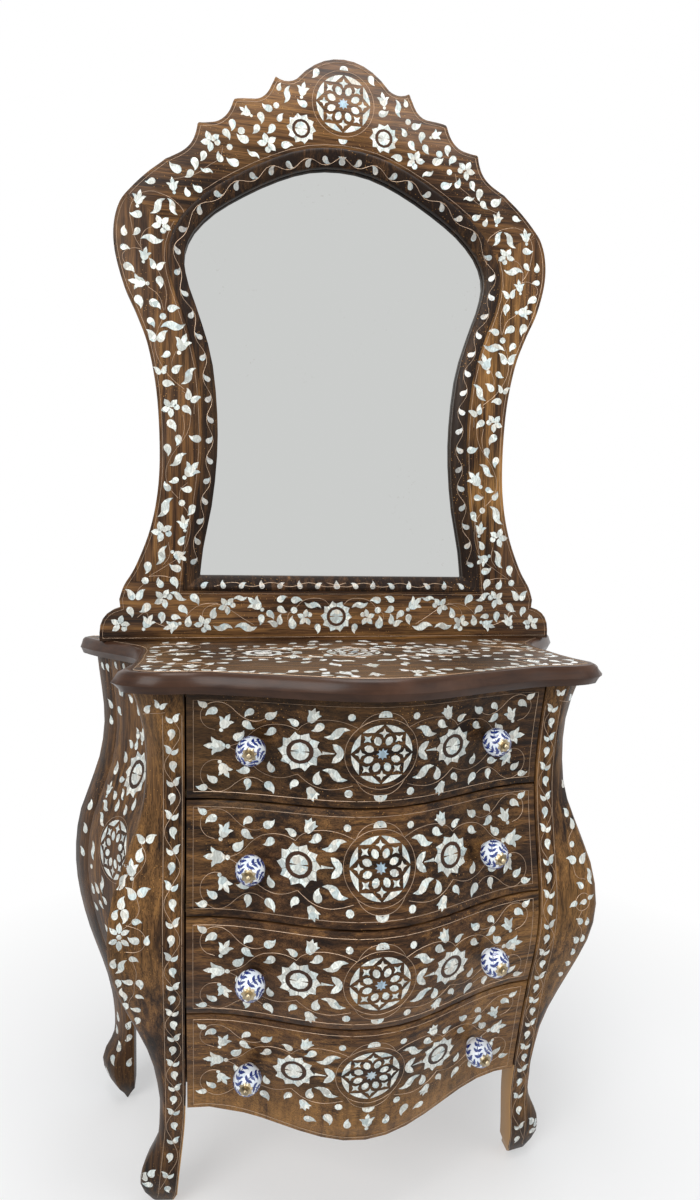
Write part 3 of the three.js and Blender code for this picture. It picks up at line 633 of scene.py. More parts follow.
def around(shape, x, z, reach, at, size, towards, wide=1.0, curl=1):
    """A piece at a distance and an angle from a middle."""
    a = math.radians(at)
    return laid(shape, x + reach * math.cos(a), z + reach * math.sin(a), size, towards, wide, curl)


def tulip(x, z, size, towards, curl=1):
    return [around("tulip", x, z, 0.1 * size, towards, 0.92 * size, towards, 1, curl),
            around("dot", x, z, 0.48 * size, towards + 180, 0.22 * size, towards)]


def flower(x, z, size, towards, curl=1):
    parts = [around("petal", x, z, 0.27 * size, towards + turn, 0.48 * size, towards + turn, 1.15, curl)
             for turn in (20, 92, 164, -55)]
    return parts + [around("dot", x, z, 0.3 * size, towards - 105, 0.3 * size, towards)]


def pair(x, z, size, towards):
    return [around("leaf", x, z, 0.32 * size, towards + turn, 0.72 * size, towards + turn * 0.4, 0.86, curl)
            for turn, curl in ((48, -1), (-48, 1))]


def duo(x, z, size, towards, curl=1):
    """Two plump leaves that touch, one upright and one lying beside it."""
    return [around("comma", x, z, reach * size, towards + at * curl, long * size, towards + tip * curl, 0.82,
                   curl) for reach, at, long, tip in ((0.35, -52, 1.02, -4), (0.38, 108, 0.86, 74))]


def sunburst(x, z, radius):
    parts = [laid("flame", x, z, radius, 360 * k / FLAMES, 12 / FLAMES) for k in range(FLAMES)]
    return parts + [laid("half", x, z, radius, 90), laid("half", x, z, radius, -90)]


def rosette(x, z, radius):
    """Eight stars and seeds within a rim of shell."""
    parts = []
    for k in range(8):
        on, off = 45 * k, 45 * k + 22.5
        parts.append(laid("rim", x, z, radius, off))
        parts.append(around("star", x, z, 0.72 * radius, on, 0.33 * radius, on))
        parts.append(around("seed", x, z, 0.48 * radius, off, 0.33 * radius, off))
    return parts


MOTIFS = {"tulip": tulip, "flower": flower, "pair": pair, "duo": duo}


def listed(**kinds):
    """Rows of shape, place across, place up, length, angle of the tip and curl from rows grouped by shape."""
    return [(shape, *row) for shape, rows in kinds.items() for row in rows]


def pieces(rows, middle=0):
    parts = []
    for shape, x, z, size, towards, *curl in rows:
        if shape in MOTIFS:
            parts += MOTIFS[shape](x, z + middle, size, towards, *curl)
        else:
            parts.append(laid(shape, x, z + middle, size, towards, 1, *curl))
    return parts


# Wires: distance of the points of a straight line in millimetres, points of a ring
LINE_STEP = 9
RING_POINTS = 40
# Borders, in metres: points this near count as one, how far off the face's level a point may lie, from what
# length an edge beside a joint is taken out, and the widest gap that this leaves
BORDER_WELD = 0.0016
OFF_LEVEL = 0.0003
LONG_EDGE = 0.025
JOINT_GAP = 0.03


def wire(points, middle=0):
    """A smooth line through places in millimetres, as a chain of edges in the drawing plane."""
    clear_selection()
    bpy.ops.curve.primitive_bezier_curve_add(location=(0, 0, 0))
    obj = bpy.context.object
    line = obj.data.splines[0]
    line.bezier_points.add(len(points) - 2)
    for point, (x, z) in zip(line.bezier_points, points):
        point.co = (x * MM, DRAWING_PLANE, (z + middle) * MM)
        point.handle_left_type = "AUTO"
        point.handle_right_type = "AUTO"
    obj.data.resolution_u = 5
    bpy.ops.object.convert(target="MESH")
    return bpy.context.object


def wires(lines, middle=0):
    return [wire(points, middle) for points in lines]


def straight(start, end):
    count = max(1, round(math.dist(start, end) / LINE_STEP))
    return [(start[0] + (end[0] - start[0]) * k / count, start[1] + (end[1] - start[1]) * k / count)
            for k in range(count + 1)]


def chain(points, closed=False):
    """Straight edges through the points, for borders."""
    mesh = bpy.data.meshes.new("chain")
    edges = [(k, k + 1) for k in range(len(points) - 1)]
    if closed:
        edges.append((len(points) - 1, 0))
    mesh.from_pydata([(x * MM, DRAWING_PLANE, z * MM) for x, z in points], edges, [])
    return added("chain", mesh)


def ring(x, z, radius):
    turns = [2 * math.pi * k / RING_POINTS for k in range(RING_POINTS)]
    return chain([(x + radius * math.cos(a), z + radius * math.sin(a)) for a in turns], closed=True)


def band(x, z, radius):
    """The flat dark ring inside a sunburst."""
    inner, outer = EBONY_RING
    middle = (x * MM, DRAWING_PLANE, z * MM)
    obj = disc(28, inner * radius * MM, middle, "NOTHING")
    with editing(obj):
        bpy.ops.mesh.extrude_region_move()
        bpy.ops.transform.resize(value=(outer / inner, 1, outer / inner), center_override=middle)
    return facing_front(obj)


def inner_line(names, axis, level, inset, joints=()):
    """Edges at a distance inside the outline of the flat face that some boards share."""
    boards = [bpy.data.objects[name] if name == CREST else NODES[name] for name in names]
    obj = joined([copied(board, board.matrix_world) for board in boards], "outline")
    obj.modifiers.clear()
    with editing(obj):
        bpy.ops.mesh.remove_doubles(threshold=BORDER_WELD)
        select_where(lambda p: abs(p[axis] - level) > OFF_LEVEL)
        bpy.ops.mesh.delete(type="VERT")
        bpy.ops.mesh.select_all(action="SELECT")
        bpy.ops.mesh.inset(thickness=inset, depth=0, use_boundary=True)
        bpy.ops.mesh.region_to_loop()
        bpy.ops.mesh.duplicate_move()
        bpy.ops.mesh.select_all(action="INVERT")
        bpy.ops.mesh.delete(type="VERT")
        if joints:
            drop_joints(obj, joints)
    return obj


def drop_joints(obj, joints):
    """Takes out the long edges beside the joints and closes the small gaps that they leave."""
    mesh = bmesh.from_edit_mesh(obj.data)
    for edge in mesh.edges:
        height = (edge.verts[0].co.z + edge.verts[1].co.z) / 2
        edge.select_set(edge.calc_length() > LONG_EDGE and any(low < height < high for low, high in joints))
    bmesh.update_edit_mesh(obj.data)
    bpy.ops.mesh.delete(type="EDGE")
    mesh = bmesh.from_edit_mesh(obj.data)
    for vertex in mesh.verts:
        vertex.select_set(len(vertex.link_edges) == 1)
    bmesh.update_edit_mesh(obj.data)
    bpy.ops.mesh.remove_doubles(threshold=JOINT_GAP)


# From the drawing plane onto a face of the chest

def facing(place, degrees, axis):
    return (Matrix.Translation(place) @ Matrix.Rotation(math.radians(degrees), 4, axis)
            @ Matrix.Translation((0, -DRAWING_PLANE, 0)))


TURNS = {
    "front": Matrix.Identity(4),
    "top": facing((0, 0, 1.2), -90, "X"),
    "left": facing((-0.7, 0, 0), -90, "Z"),
    "right": facing((0.7, 0, 0), 90, "Z"),
}
AXES = {"front": (1, 1), "top": (2, -1), "left": (0, 1), "right": (0, -1)}


def pressed(obj, target, face, proud):
    """Projects the points of a flat piece straight onto the target's surface."""
    axis, way = AXES[face]
    obj.data.transform(TURNS[face])
    if obj.data.polygons:
        with editing(obj):
            bpy.ops.mesh.subdivide(number_cuts=1)
    start = [round(v.co[axis], 6) for v in obj.data.vertices]
    apply_modifier(obj, "SHRINKWRAP", target=NODES[target], wrap_method="PROJECT",
                   use_negative_direction=way < 0, use_positive_direction=way > 0, offset=proud,
                   **{f"use_project_{name}": k == axis for k, name in enumerate("xyz")})
    missed = [v.co for v, before in zip(obj.data.vertices, start) if round(v.co[axis], 6) == before]
    if missed:
        places = sorted({tuple(round(c / MM, -1) for c in co) for co in missed})
        raise RuntimeError(f"{obj.name}: {len(missed)} points missed {target}, near {places}")
    return obj


def thickened(obj):
    apply_modifier(obj, "SOLIDIFY", thickness=settings()[1].pearl_thickness, offset=-1)
    return obj


def drawn(obj):
    """A chain of edges given the thickness of the wire."""
    pick(obj)
    bpy.ops.object.convert(target="CURVE")
    line = bpy.context.object.data
    line.bevel_depth = settings()[1].wire_width / 2
    line.bevel_resolution = 0
    line.use_fill_caps = True
    bpy.ops.object.convert(target="MESH")
    return bpy.context.object


def inlaid(name, rows, target, face, body, material="pearl", slot="walnut"):
    obj = pressed(joined(rows, name), target, face, settings()[1].pearl_proud)
    return finished(thickened(obj), body, FINISH[material])


def wired(name, rows, target, face, body):
    obj = pressed(joined(rows, name), target, face, WIRE_PROUD)
    return finished(drawn(obj), body, FINISH["wire"])


def eased(obj):
    """Smooth faces and slightly rounded edges, kept as modifiers."""
    for polygon in obj.data.polygons:
        polygon.use_smooth = True
    obj.modifiers.new("Weld", "WELD").merge_threshold = WELD
    edges = obj.modifiers.new("Edges", "BEVEL")
    edges.width = settings()[1].edge_round
    edges.segments = 2
    edges.limit_method = "ANGLE"
    edges.angle_limit = math.radians(32)
    edges.harden_normals = True


def altered(node, name):
    """A copy of a solid's mesh to be altered, its closed seams welded."""
    obj = copied(NODES[node], NODES[node].matrix_world)
    obj.name = name
    apply_modifier(obj, "WELD", merge_threshold=WELD)
    return obj


FINISH = {}


class CHEST_OT_finishes(bpy.types.Operator):
    """Makes the finishes, gives the boards theirs and rounds their edges"""
    bl_idname = "chest.finishes"
    bl_label = "Finishes of the boards"

    def execute(self, context):
        finishes = settings()[0]
        for key, look in WALNUTS.items():
            FINISH[key] = walnut(f"Walnut, {key.replace('_', ' ')}", *look)
        FINISH.update({
            "stained": stained_walnut(),
            "plain": plain_wood(),
            "pearl": pearl(),
            # The top's pearl is lightened: painted light where the top faces the lamps above
            "top_pearl": pearl("Mother of pearl, top", (1.36, 1.31, 1.2)),
            # The moulding's pearl is darkened: painted shade in the hollow round the glass
            "dim_pearl": pearl("Mother of pearl, moulding", (0.58, 0.55, 0.55)),
            "blue_pearl": pearl("Blue shell", (0.45, 0.6, 0.8)),
            "wire": metal("Inlaid wire", finishes.wire, 0.45, 0.7, 0.6),
            "brass": metal("Worn brass", finishes.brass, 0.22, 0.45, 0.35),
            "glaze": glaze(),
            "cobalt": cobalt_paint(),
            "glass": silvered_glass(),
        })
        for name, obj in NODES.items():
            coated(obj, FINISH[self.finish_of(name)])
            if name != "mirror_glass":
                eased(obj)
        return {"FINISHED"}

    @staticmethod
    def finish_of(name):
        if name == "mirror_glass":
            return "glass"
        if name == "top_lipping":
            return "stained"
        for key in WALNUTS:
            if name.startswith(key):
                return key
        if name.startswith("knob_bolt"):
            return "brass"
        if name.startswith("knob"):
            return "glaze"
        return "plain"


# Drawer inlay: left half, in millimetres from the middle of the pattern

SCROLLS = [
    [(-214, 23), (-226, 28), (-233, 43), (-227, 57), (-209, 63), (-196, 58), (-185, 48), (-175, 41),
     (-164, 38), (-154, 40), (-146, 46)],
    [(-206, -20), (-216, -20), (-228, -27), (-233, -40), (-230, -52), (-222, -61), (-209, -65),
     (-196, -60), (-184, -50), (-172, -43), (-160, -43), (-150, -48)],
    [(-198, 0), (-186, 4), (-175, 12), (-167, 21), (-154, 31), (-142, 35), (-131, 36), (-118, 34),
     (-109, 30)],
    [(-109, 30), (-103, 37), (-92, 43), (-78, 46), (-64, 46), (-50, 43), (-33, 36)],
    [(-198, 0), (-186, -6), (-176, -14), (-167, -22), (-157, -31), (-142, -38), (-127, -39), (-107, -32)],
    [(-107, -32), (-100, -38), (-90, -45), (-75, -50), (-55, -49), (-37, -44)],
    [(-33, 36), (-26, 47), (-15, 55), (0, 58)],
    [(-33, -36), (-26, -47), (-15, -55), (0, -58)],
]
DRAWER_LEAVES = listed(
    leaf=[(-231, 59, 14, 165), (-219, 50, 17, 190, -1), (-171, 50, 15, 205, -1), (-172, 31, 17, -55, -1),
          (-182, 15, 18, 25, -1), (-142, 47, 17, 15, -1), (-142, 24, 16, 235), (-114, 41, 15, 130, -1),
          (-83, 34, 17, 235), (-182, -15, 16, 140), (-176, -34, 17, 210), (-142, -26, 15, 130),
          (-112, -46, 15, 215, -1), (-83, -36, 18, 105), (-141, -53, 18, -35), (-170, -52, 16, -75),
          (-231, -60, 15, 195), (-218, -48, 16, 165)],
    tulip=[(-201, 34, 25, 65), (-212, 0, 31, 180), (-202, -33, 25, -62, -1)],
    bell=[(-90, 51, 21, 65), (-88, -58, 20, -62, -1)],
    long=[(-60, 28, 31, 42), (-60, -30, 32, -44, -1)],
    dot=[(-43, 51, 10, 30), (-42, -55, 11, 75)],
    crescent=[(-57, 0, 26, 0)],
    spear=[(-69.5, 0, 15, 0)],
)
DRAWER_MIDDLE = listed(
    moon=[(0, 55, 18, 90), (0, -61, 18, -90)],
)
APRON_LEAVES = listed(
    leaf=[(-80, -82, 17, 10), (-54, -78, 20, -50), (-29, -86, 17, 110)],
)
APRON_MIDDLE = listed(
    tulip=[(0, -84, 27, 90)],
)
# Lowest front: how far its apron hangs, the share of the half width over which it rises, the distance of
# its border, and how far the pattern's middle lies below the top
APRON_DROP = 30
APRON_SHARE = 0.88
APRON_BORDER = 6
PATTERN_DROP = 81
# Round motifs; the spark in the middle is a share of its rosette
SUNBURST_PLACE = -105
SUNBURST_RADIUS = 27
ROSETTE_RADIUS = 41
ROSETTE_RING = 49
SPARK_SHARE = 0.4


def edges_of(name):
    """Left side, foot and top of a solid, in millimetres."""
    low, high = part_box(name)
    return low.x / MM, low.z / MM, high.z / MM


def drawer_middle(n):
    """Height of the pattern's middle; the lowest front hangs further down than its pattern."""
    _, foot, top = edges_of(f"drawer_{n}_front")
    return top - PATTERN_DROP if n == 4 else (foot + top) / 2


class CHEST_OT_drawer_inlay(bpy.types.Operator):
    """Inlays the four drawer fronts with leaves, sunbursts, rosettes and wires"""
    bl_idname = "chest.drawer_inlay"
    bl_label = "Drawer inlay"

    def execute(self, context):
        for n in DRAWERS:
            middle = drawer_middle(n)
            front, body = f"drawer_{n}_front", f"drawer_{n}"
            leaves = DRAWER_LEAVES + (APRON_LEAVES if n == 4 else [])
            half = both(pieces(leaves, middle) + sunburst(SUNBURST_PLACE, middle, SUNBURST_RADIUS))
            centre = rosette(0, middle, ROSETTE_RADIUS)
            centre += pieces(DRAWER_MIDDLE + (APRON_MIDDLE if n == 4 else []), middle)
            inlaid(f"drawer_{n}_pearl", [half] + centre, front, "front", body)
            rings = with_mirror(band(SUNBURST_PLACE, middle, SUNBURST_RADIUS))
            inlaid(f"drawer_{n}_rings", [rings], front, "front", body, "stained", "dark_walnut")
            spark = laid("spark", 0, middle, SPARK_SHARE * ROSETTE_RADIUS, 90)
            inlaid(f"drawer_{n}_shell", [spark], front, "front", body, "blue_pearl")
            rows = [both(wires(SCROLLS, middle) + [self.border(n)]), ring(0, middle, ROSETTE_RING)]
            wired(f"drawer_{n}_wires", rows, front, "front", body)
        return {"FINISHED"}

    @staticmethod
    def border(n):
        """Left half of the wire along the front's edge; on the lowest drawer it follows the apron."""
        left, foot, top = edges_of(f"drawer_{n}_front")
        edge = settings()[1].border / MM
        side, shoulder = left + edge, foot + APRON_DROP + APRON_BORDER
        corners = [(0, top - edge), (side, top - edge)]
        corners += [(side, shoulder)] if n == 4 else [(side, foot + edge), (0, foot + edge)]
        points = [spot for a, b in zip(corners, corners[1:]) for spot in straight(a, b)]
        if n == 4:
            reach = APRON_SHARE * abs(left)
            for x in range(round(side) + APRON_BORDER, 1, LINE_STEP):
                drop = APRON_DROP * (1 + math.cos(math.pi * min(-x / reach, 1))) / 2
                points.append((x, shoulder - drop))
            points.append((0, foot + APRON_BORDER))
        return chain(points)


# Knobs: distance from the front and radius of each station, in millimetres

KNOB = [(0, 9.4), (2, 9.6), (4.5, 9.4), (7, 12.4), (11, 16.4), (16, 18.8), (22, 19.4), (28, 18.6),
        (34, 15.4), (38, 11.4), (41, 6.6), (40.4, 3)]
CAP = [(38.6, 7), (39.4, 8.6), (40.4, 8.9), (42.6, 6.8), (41.8, 4.9), (41.8, 4.2), (45.5, 4.1),
       (47.6, 3.3), (49, 1.6)]
SHANK = [(-35, 2.2), (-34.6, 2.5), (-1, 2.5), (38, 2.5)]
NUT = [(-34, 5), (-33.4, 5.6), (-31.6, 5.6), (-31, 5)]
SCREW = [(0, 4), (0.6, 3.8), (1.2, 2.4), (1.3, 0.5)]
# How far the knobs lean outwards, in degrees; depth of their middle; radius from which a cap has petals
KNOB_LEANS = {"left": -10, "right": 8}
KNOB_MIDDLE = 22
CAP_NECK = 7.5
CAP_PETALS = 8
VINE_ARMS = 5
VINE_STEPS = 5
# Distance of a leaf's middle from its joint, in degrees over the knob, and its angle to the vine
LEAF_REACH = 12
LEAF_LEAN = 48


class CHEST_OT_knobs(bpy.types.Operator):
    """Turns the glazed knobs with painted leaves, their petalled caps and their screws"""
    bl_idname = "chest.knobs"
    bl_label = "Knobs"

    def execute(self, context):
        body = turned("knob", KNOB, 32)
        sprigs = self.sprigs(body)
        cap = self.cap()
        for n in DRAWERS:
            for side, sign in SIDES.items():
                low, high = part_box(f"knob_{n}_{side}")
                seat = Vector(((low.x + high.x) / 2, high.y, (low.z + high.z) / 2))
                place = Matrix.Translation(seat)
                place = place @ Matrix.Rotation(math.radians(KNOB_LEANS[side]), 4, "Z")
                place = place @ Matrix.Rotation(math.radians(75 * n + 40 * sign), 4, "Y")
                for model, name, slot, finish in ((body, "knob", "ceramic", "glaze"),
                                                  (sprigs, "knob_sprigs", "ceramic", "cobalt"),
                                                  (cap, "knob_cap", "brass", "brass")):
                    obj = copied(model, place)
                    obj.name = f"{name}_{n}_{side}_fine"
                    finished(obj, f"drawer_{n}", FINISH[finish], 40)
                    if name == "knob":
                        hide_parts(f"knob_{n}_{side}")
                    if name == "knob_cap":
                        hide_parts(f"knob_bolt_{n}_{side}")
        discard(body, sprigs, cap)
        return {"FINISHED"}

    @staticmethod
    def sprigs(body):
        """Painted vines that spiral over the knob, with a pair of leaves at each step."""
        parts = []
        centre = Matrix.Translation((0, -KNOB_MIDDLE * MM, 0))

        def stroke(shape, along, out, size, wide, lean):
            turn = centre @ Matrix.Rotation(math.radians(along), 4, "Y")
            turn = turn @ Matrix.Rotation(math.radians(out), 4, "X") @ centre
            turn = turn @ Matrix.Rotation(math.radians(lean), 4, "Y")
            parts.append(copied(SHAPES[shape], turn @ Matrix.Diagonal((size * wide * MM, 1, size * MM, 1))))

        for arm in range(VINE_ARMS):
            for step in range(VINE_STEPS):
                at, out = 360 / VINE_ARMS * arm + 16 * step, 32 + 17 * step
                way = 180 + math.degrees(math.atan(math.sin(math.radians(out))))
                stroke("long", at, out, 11, 0.3, way)
                for lean in (way - LEAF_LEAN, way + LEAF_LEAN):
                    turn = math.radians(lean)
                    aside = LEAF_REACH * math.sin(turn) / math.sin(math.radians(out))
                    stroke("leaf", at - aside, out - LEAF_REACH * math.cos(turn), 8.8, 0.78, lean)
        obj = joined(parts, "sprigs")
        apply_modifier(obj, "SHRINKWRAP", target=body, wrap_method="NEAREST_SURFACEPOINT",
                       wrap_mode="ABOVE_SURFACE", offset=0.0002)
        apply_modifier(obj, "SOLIDIFY", thickness=0.0003, offset=0)
        return obj

    @staticmethod
    def cap():
        """A petalled brass cap with a domed screw, its shank through the board and the nut behind."""
        cap = turned("cap", CAP, 32)
        for vertex in cap.data.vertices:
            if math.hypot(vertex.co.x, vertex.co.z) > CAP_NECK * MM:
                wave = 1 + 0.13 * math.cos(CAP_PETALS * math.atan2(vertex.co.x, vertex.co.z))
                vertex.co.x *= wave
                vertex.co.z *= wave
        return joined([cap, turned("shank", SHANK, 12), turned("nut", NUT, 6)], "cap")


# Corner posts: the left one's front strip from its top down, in millimetres

STRIP_TOP = 791
STRIP_STEPS = [22.7] * 10 + [23.4] * 8 + [22.8] * 8 + [28, 29, 30.5, 31, 30]
STRIP_WIDTH = 31
# How far the vine swings to each side, and the heights of the points of the strip's edges
STRIP_WAVE = 10.5
STRIP_HEIGHTS = range(15, 796, 12)


def strip_inner(z):
    """Inner edge of the left post's front strip, which runs in towards the foot."""
    return -(STRIP_EDGE + LEG_TAPER * (1 - smooth(z, LEG_TOP)) + TOE_TAPER * (1 - smooth(z, TOE_TOP)))


def smooth(value, top):
    t = min(max(value / top, 0), 1)
    return t * t * (3 - 2 * t)


KNEE_LEAVES = listed(
    pair=[(-286, 806, 17, 75)],
    leaf=[(-303, 801, 14, 80), (-299, 624, 16, 60), (-312, 622, 15, 120, -1), (-314, 601, 18, 100),
          (-323, 554, 18, 110, -1), (-308, 557, 18, 50), (-337, 541, 17, 95), (-331, 525, 18, -75),
          (-345, 526, 14, 85), (-316, 519, 13, 20), (-320, 493, 16, 180), (-303, 494, 13, 100),
          (-320, 467, 13, 0), (-348, 458, 15, 95), (-329, 429, 15, 190), (-312, 427, 16, -60),
          (-314, 405, 12, 0), (-320, 379, 14, 190), (-318, 358, 14, -80), (-341, 426, 14, -75),
          (-333, 384, 14, -70), (-305, 78, 17, 78), (-311, 53.5, 17, 210), (-316, 68.5, 16, 100)],
    tulip=[(-324, 583, 24, 95)],
    long=[(-336, 566, 24, 75), (-337, 454, 25, 78), (-336, 406, 24, -62)],
    dot=[(-339, 497, 7, 0)],
    petal=[(-339, 509, 15, 90), (-339, 485, 15, 270), (-347, 504, 13, 150), (-347, 490, 13, 210),
          (-331, 504, 13, 30), (-331, 490, 13, 330)],
)
KNEE_LEAVES_RIGHT = listed(
    pair=[(-279, 811, 16, 90)],
    leaf=[(-308, 802, 14, 80), (-307, 667, 13, 90), (-309, 626, 15, 80), (-319, 608, 16, 100),
          (-324, 522, 14, 60), (-311, 496, 14, 0), (-329, 496, 13, 10), (-343, 500, 11, 180),
          (-325, 467, 15, 60), (-340, 462, 13, 110), (-324, 434, 16, 70), (-337, 433, 14, 100),
          (-324, 411, 14, 90), (-320, 389, 14, 60), (-311, 370, 13, 60), (-305, 78, 17, 78),
          (-311, 53.5, 17, 210), (-316, 68.5, 16, 100)],
    dot=[(-314, 580, 9, 0)],
    comma=[(-312, 560, 16, 60), (-331, 558, 16, 105, -1)],
    long=[(-342, 531, 24, 95)],
)
KNEE_RING_RIGHT = (-328, 496, 13)
KNEE_VINES_RIGHT = [
    [(-279, 802), (-295, 798), (-309, 793)],
    [(-318, 600), (-309, 588), (-312, 570)],
    [(-312, 551), (-318, 535), (-334, 528)],
    [(-327, 482), (-321, 466), (-331, 448), (-328, 425), (-322, 402)],
]
KNEE_VINES = [
    [(-279, 799), (-295, 796), (-309, 792)],
    [(-312, 616), (-305, 600), (-310, 585), (-320, 572), (-322, 560)],
    [(-316, 548), (-313, 532), (-322, 518), (-334, 508)],
    [(-330, 513), (-318, 510), (-309, 505), (-305, 494), (-308, 483), (-318, 477), (-330, 477)],
    [(-325, 470), (-318, 452), (-317, 440), (-320, 425), (-322, 408), (-328, 396), (-330, 384)],
]


class CHEST_OT_post_inlay(bpy.types.Operator):
    """Inlays the strips of the front posts with drops, pairs of leaves and wavy wires"""
    bl_idname = "chest.post_inlay"
    bl_label = "Post inlay"

    def execute(self, context):
        rows, vine = [], []
        z = STRIP_TOP
        for k, step in enumerate(STRIP_STEPS + [0]):
            x = strip_inner(z) - STRIP_WIDTH / 2 - 0.5
            hand = 1 if k % 4 < 2 else -1
            if k % 2:
                rows.append(("comma", x, z, 14, 90 - 152 * hand, hand))
                vine.append((x + STRIP_WAVE * hand, z))
            else:
                rows.append(("duo", x + hand, z - 2, 13, 90, hand))
                vine.append((x, z))
            z -= step
        edges = [chain([(strip_inner(h) - offset, h) for h in STRIP_HEIGHTS])
                 for offset in (3, STRIP_WIDTH - 3)]
        strip = joined(pieces(rows), "strip")
        lines = joined(edges + [wire(vine)], "strip_lines")
        self.dress("left", [strip] + pieces(KNEE_LEAVES), [lines] + wires(KNEE_VINES))
        knee = [ring(*KNEE_RING_RIGHT)] + wires(KNEE_VINES_RIGHT)
        self.dress("right", [strip] + pieces(KNEE_LEAVES_RIGHT), [lines] + knee)
        discard(strip, lines)
        return {"FINISHED"}

    @staticmethod
    def dress(side, pearls, lines):
        """Takes copies of the pieces laid out for the left post and mirrors them for the right one."""
        for rows, kind, make in ((pearls, "pearl", inlaid), (lines, "wires", wired)):
            obj = joined([copied(rows[0], Matrix.Identity(4))] + rows[1:], f"post_{side}_{kind}")
            if side == "right":
                turned_over(obj)
            make(f"post_{side}_{kind}", [obj], f"front_post_{side}", "front", "case")


# Mirror frame: left half, in millimetres across and up from the floor

CREST_LEAVES = listed(
    leaf=[(-47, 1808, 17, 260), (-70, 1757, 18, 175), (-109, 1779, 13, 95), (-128, 1743, 18, 175),
          (-107, 1731, 15, 80), (-137, 1727, 18, -60), (-184, 1710, 18, -70), (-145, 1707, 17, 260),
          (-120, 1710, 18, 255), (-168, 1689, 21, 175), (-95, 1689, 19, 25), (-193, 1695, 18, -35),
          (-206, 1656, 17, 130), (-231, 1655, 17, 270), (-244, 1642, 20, -65), (-184, 1650, 21, 180),
          (-277, 1631, 22, 165), (-253, 1624, 17, 245), (-315, 1606, 16, 215), (-258, 1595, 15, 130),
          (-241, 1602, 17, 170), (-338, 1552, 19, 200)],
    tulip=[(-69, 1779, 25, 80), (-163, 1733, 22, 150), (-280, 1604, 24, 100), (-334, 1578, 26, 80)],
    long=[(-95, 1769, 28, 95), (-150, 1667, 22, -10), (-226, 1633, 20, 5), (-304, 1569, 32, 70),
          (-281, 1570, 28, 100, -1)],
    dot=[(-113, 1749, 10, 0), (-170, 1702, 12, 20), (-189, 1674, 10, 0)],
    flower=[(-127, 1687, 34, 20), (-219, 1680, 34, 100), (-298, 1540, 32, 30)],
)
STILE_LEAVES = listed(
    leaf=[(-358, 1525, 16, 110), (-337, 1525, 15, 250), (-356, 1500, 15, 10), (-349, 1469, 20, -15),
          (-300, 1449, 19, -60), (-333, 1416, 21, -50), (-308, 1414, 21, -15), (-280, 1409, 19, 30),
          (-314, 1384, 17, -35), (-291, 1332, 16, 230), (-275, 1311, 19, 60), (-288, 1287, 19, 15),
          (-257, 1245, 19, -25), (-281, 1219, 21, -35), (-271, 1194, 18, -80), (-244, 1197, 20, 185),
          (-288, 1178, 19, -60), (-278, 1126, 16, 220), (-291, 1116, 17, 140), (-258, 1112, 18, 195),
          (-249, 1078, 20, 260), (-267, 1027, 17, 80), (-321, 981, 20, -80), (-277, 980, 20, 175)],
    long=[(-313, 1516, 34, -20, -1), (-280, 1380, 38, -12, -1), (-255, 1300, 34, 72), (-272, 1162, 32, 60),
          (-293, 1082, 38, 75), (-299, 1002, 34, 85)],
    tulip=[(-325, 1490, 24, 80), (-335, 1446, 30, 175), (-265, 1352, 33, 70), (-251, 1145, 34, 50),
          (-263, 1056, 26, 100), (-270, 1001, 28, -30)],
    pair=[(-307, 1471, 25, 80), (-306, 1356, 32, 90), (-299, 1303, 22, 100), (-252, 1262, 27, 60)],
    dot=[(-296, 1394, 11, 0), (-266, 1090, 11, 0)],
    flower=[(-284, 1247, 33, 110), (-298, 1041, 36, 90)],
)
RAIL_LEAVES = listed(
    dot=[(-326, 959, 12, 0), (-75, 909, 12, 0)],
    leaf=[(-303, 955, 18, 130), (-277, 957, 20, -45), (-243, 929, 21, -35), (-97, 930, 18, 45),
          (-97, 909, 18, -50, -1), (-71, 928, 19, 20), (-349, 907, 18, -50), (-325, 912, 21, 240),
          (-263, 911, 19, -25), (-214, 904, 19, 95), (-276, 898, 16, 10), (-298, 897, 19, -70),
          (-115, 902, 18, -30), (-131, 893, 18, -75), (-79, 887, 22, 115), (-32, 877, 17, -65),
          (-256, 890, 19, 100)],
    pair=[(-342, 930, 30, 90), (-103, 885, 26, 120)],
    flower=[(-296, 929, 34, 120), (-190, 917, 32, 110), (-55, 896, 30, 140), (-367, 885, 32, 60),
          (-230, 885, 32, 20)],
    long=[(-272, 933, 28, -45, -1), (-168, 930, 23, -12, -1), (-42, 918, 29, 5), (-197, 880, 31, 15),
          (-158, 880, 36, -22, -1)],
    tulip=[(-142, 920, 32, 140), (-322, 889, 28, 60), (-282, 882, 28, 200)],
)
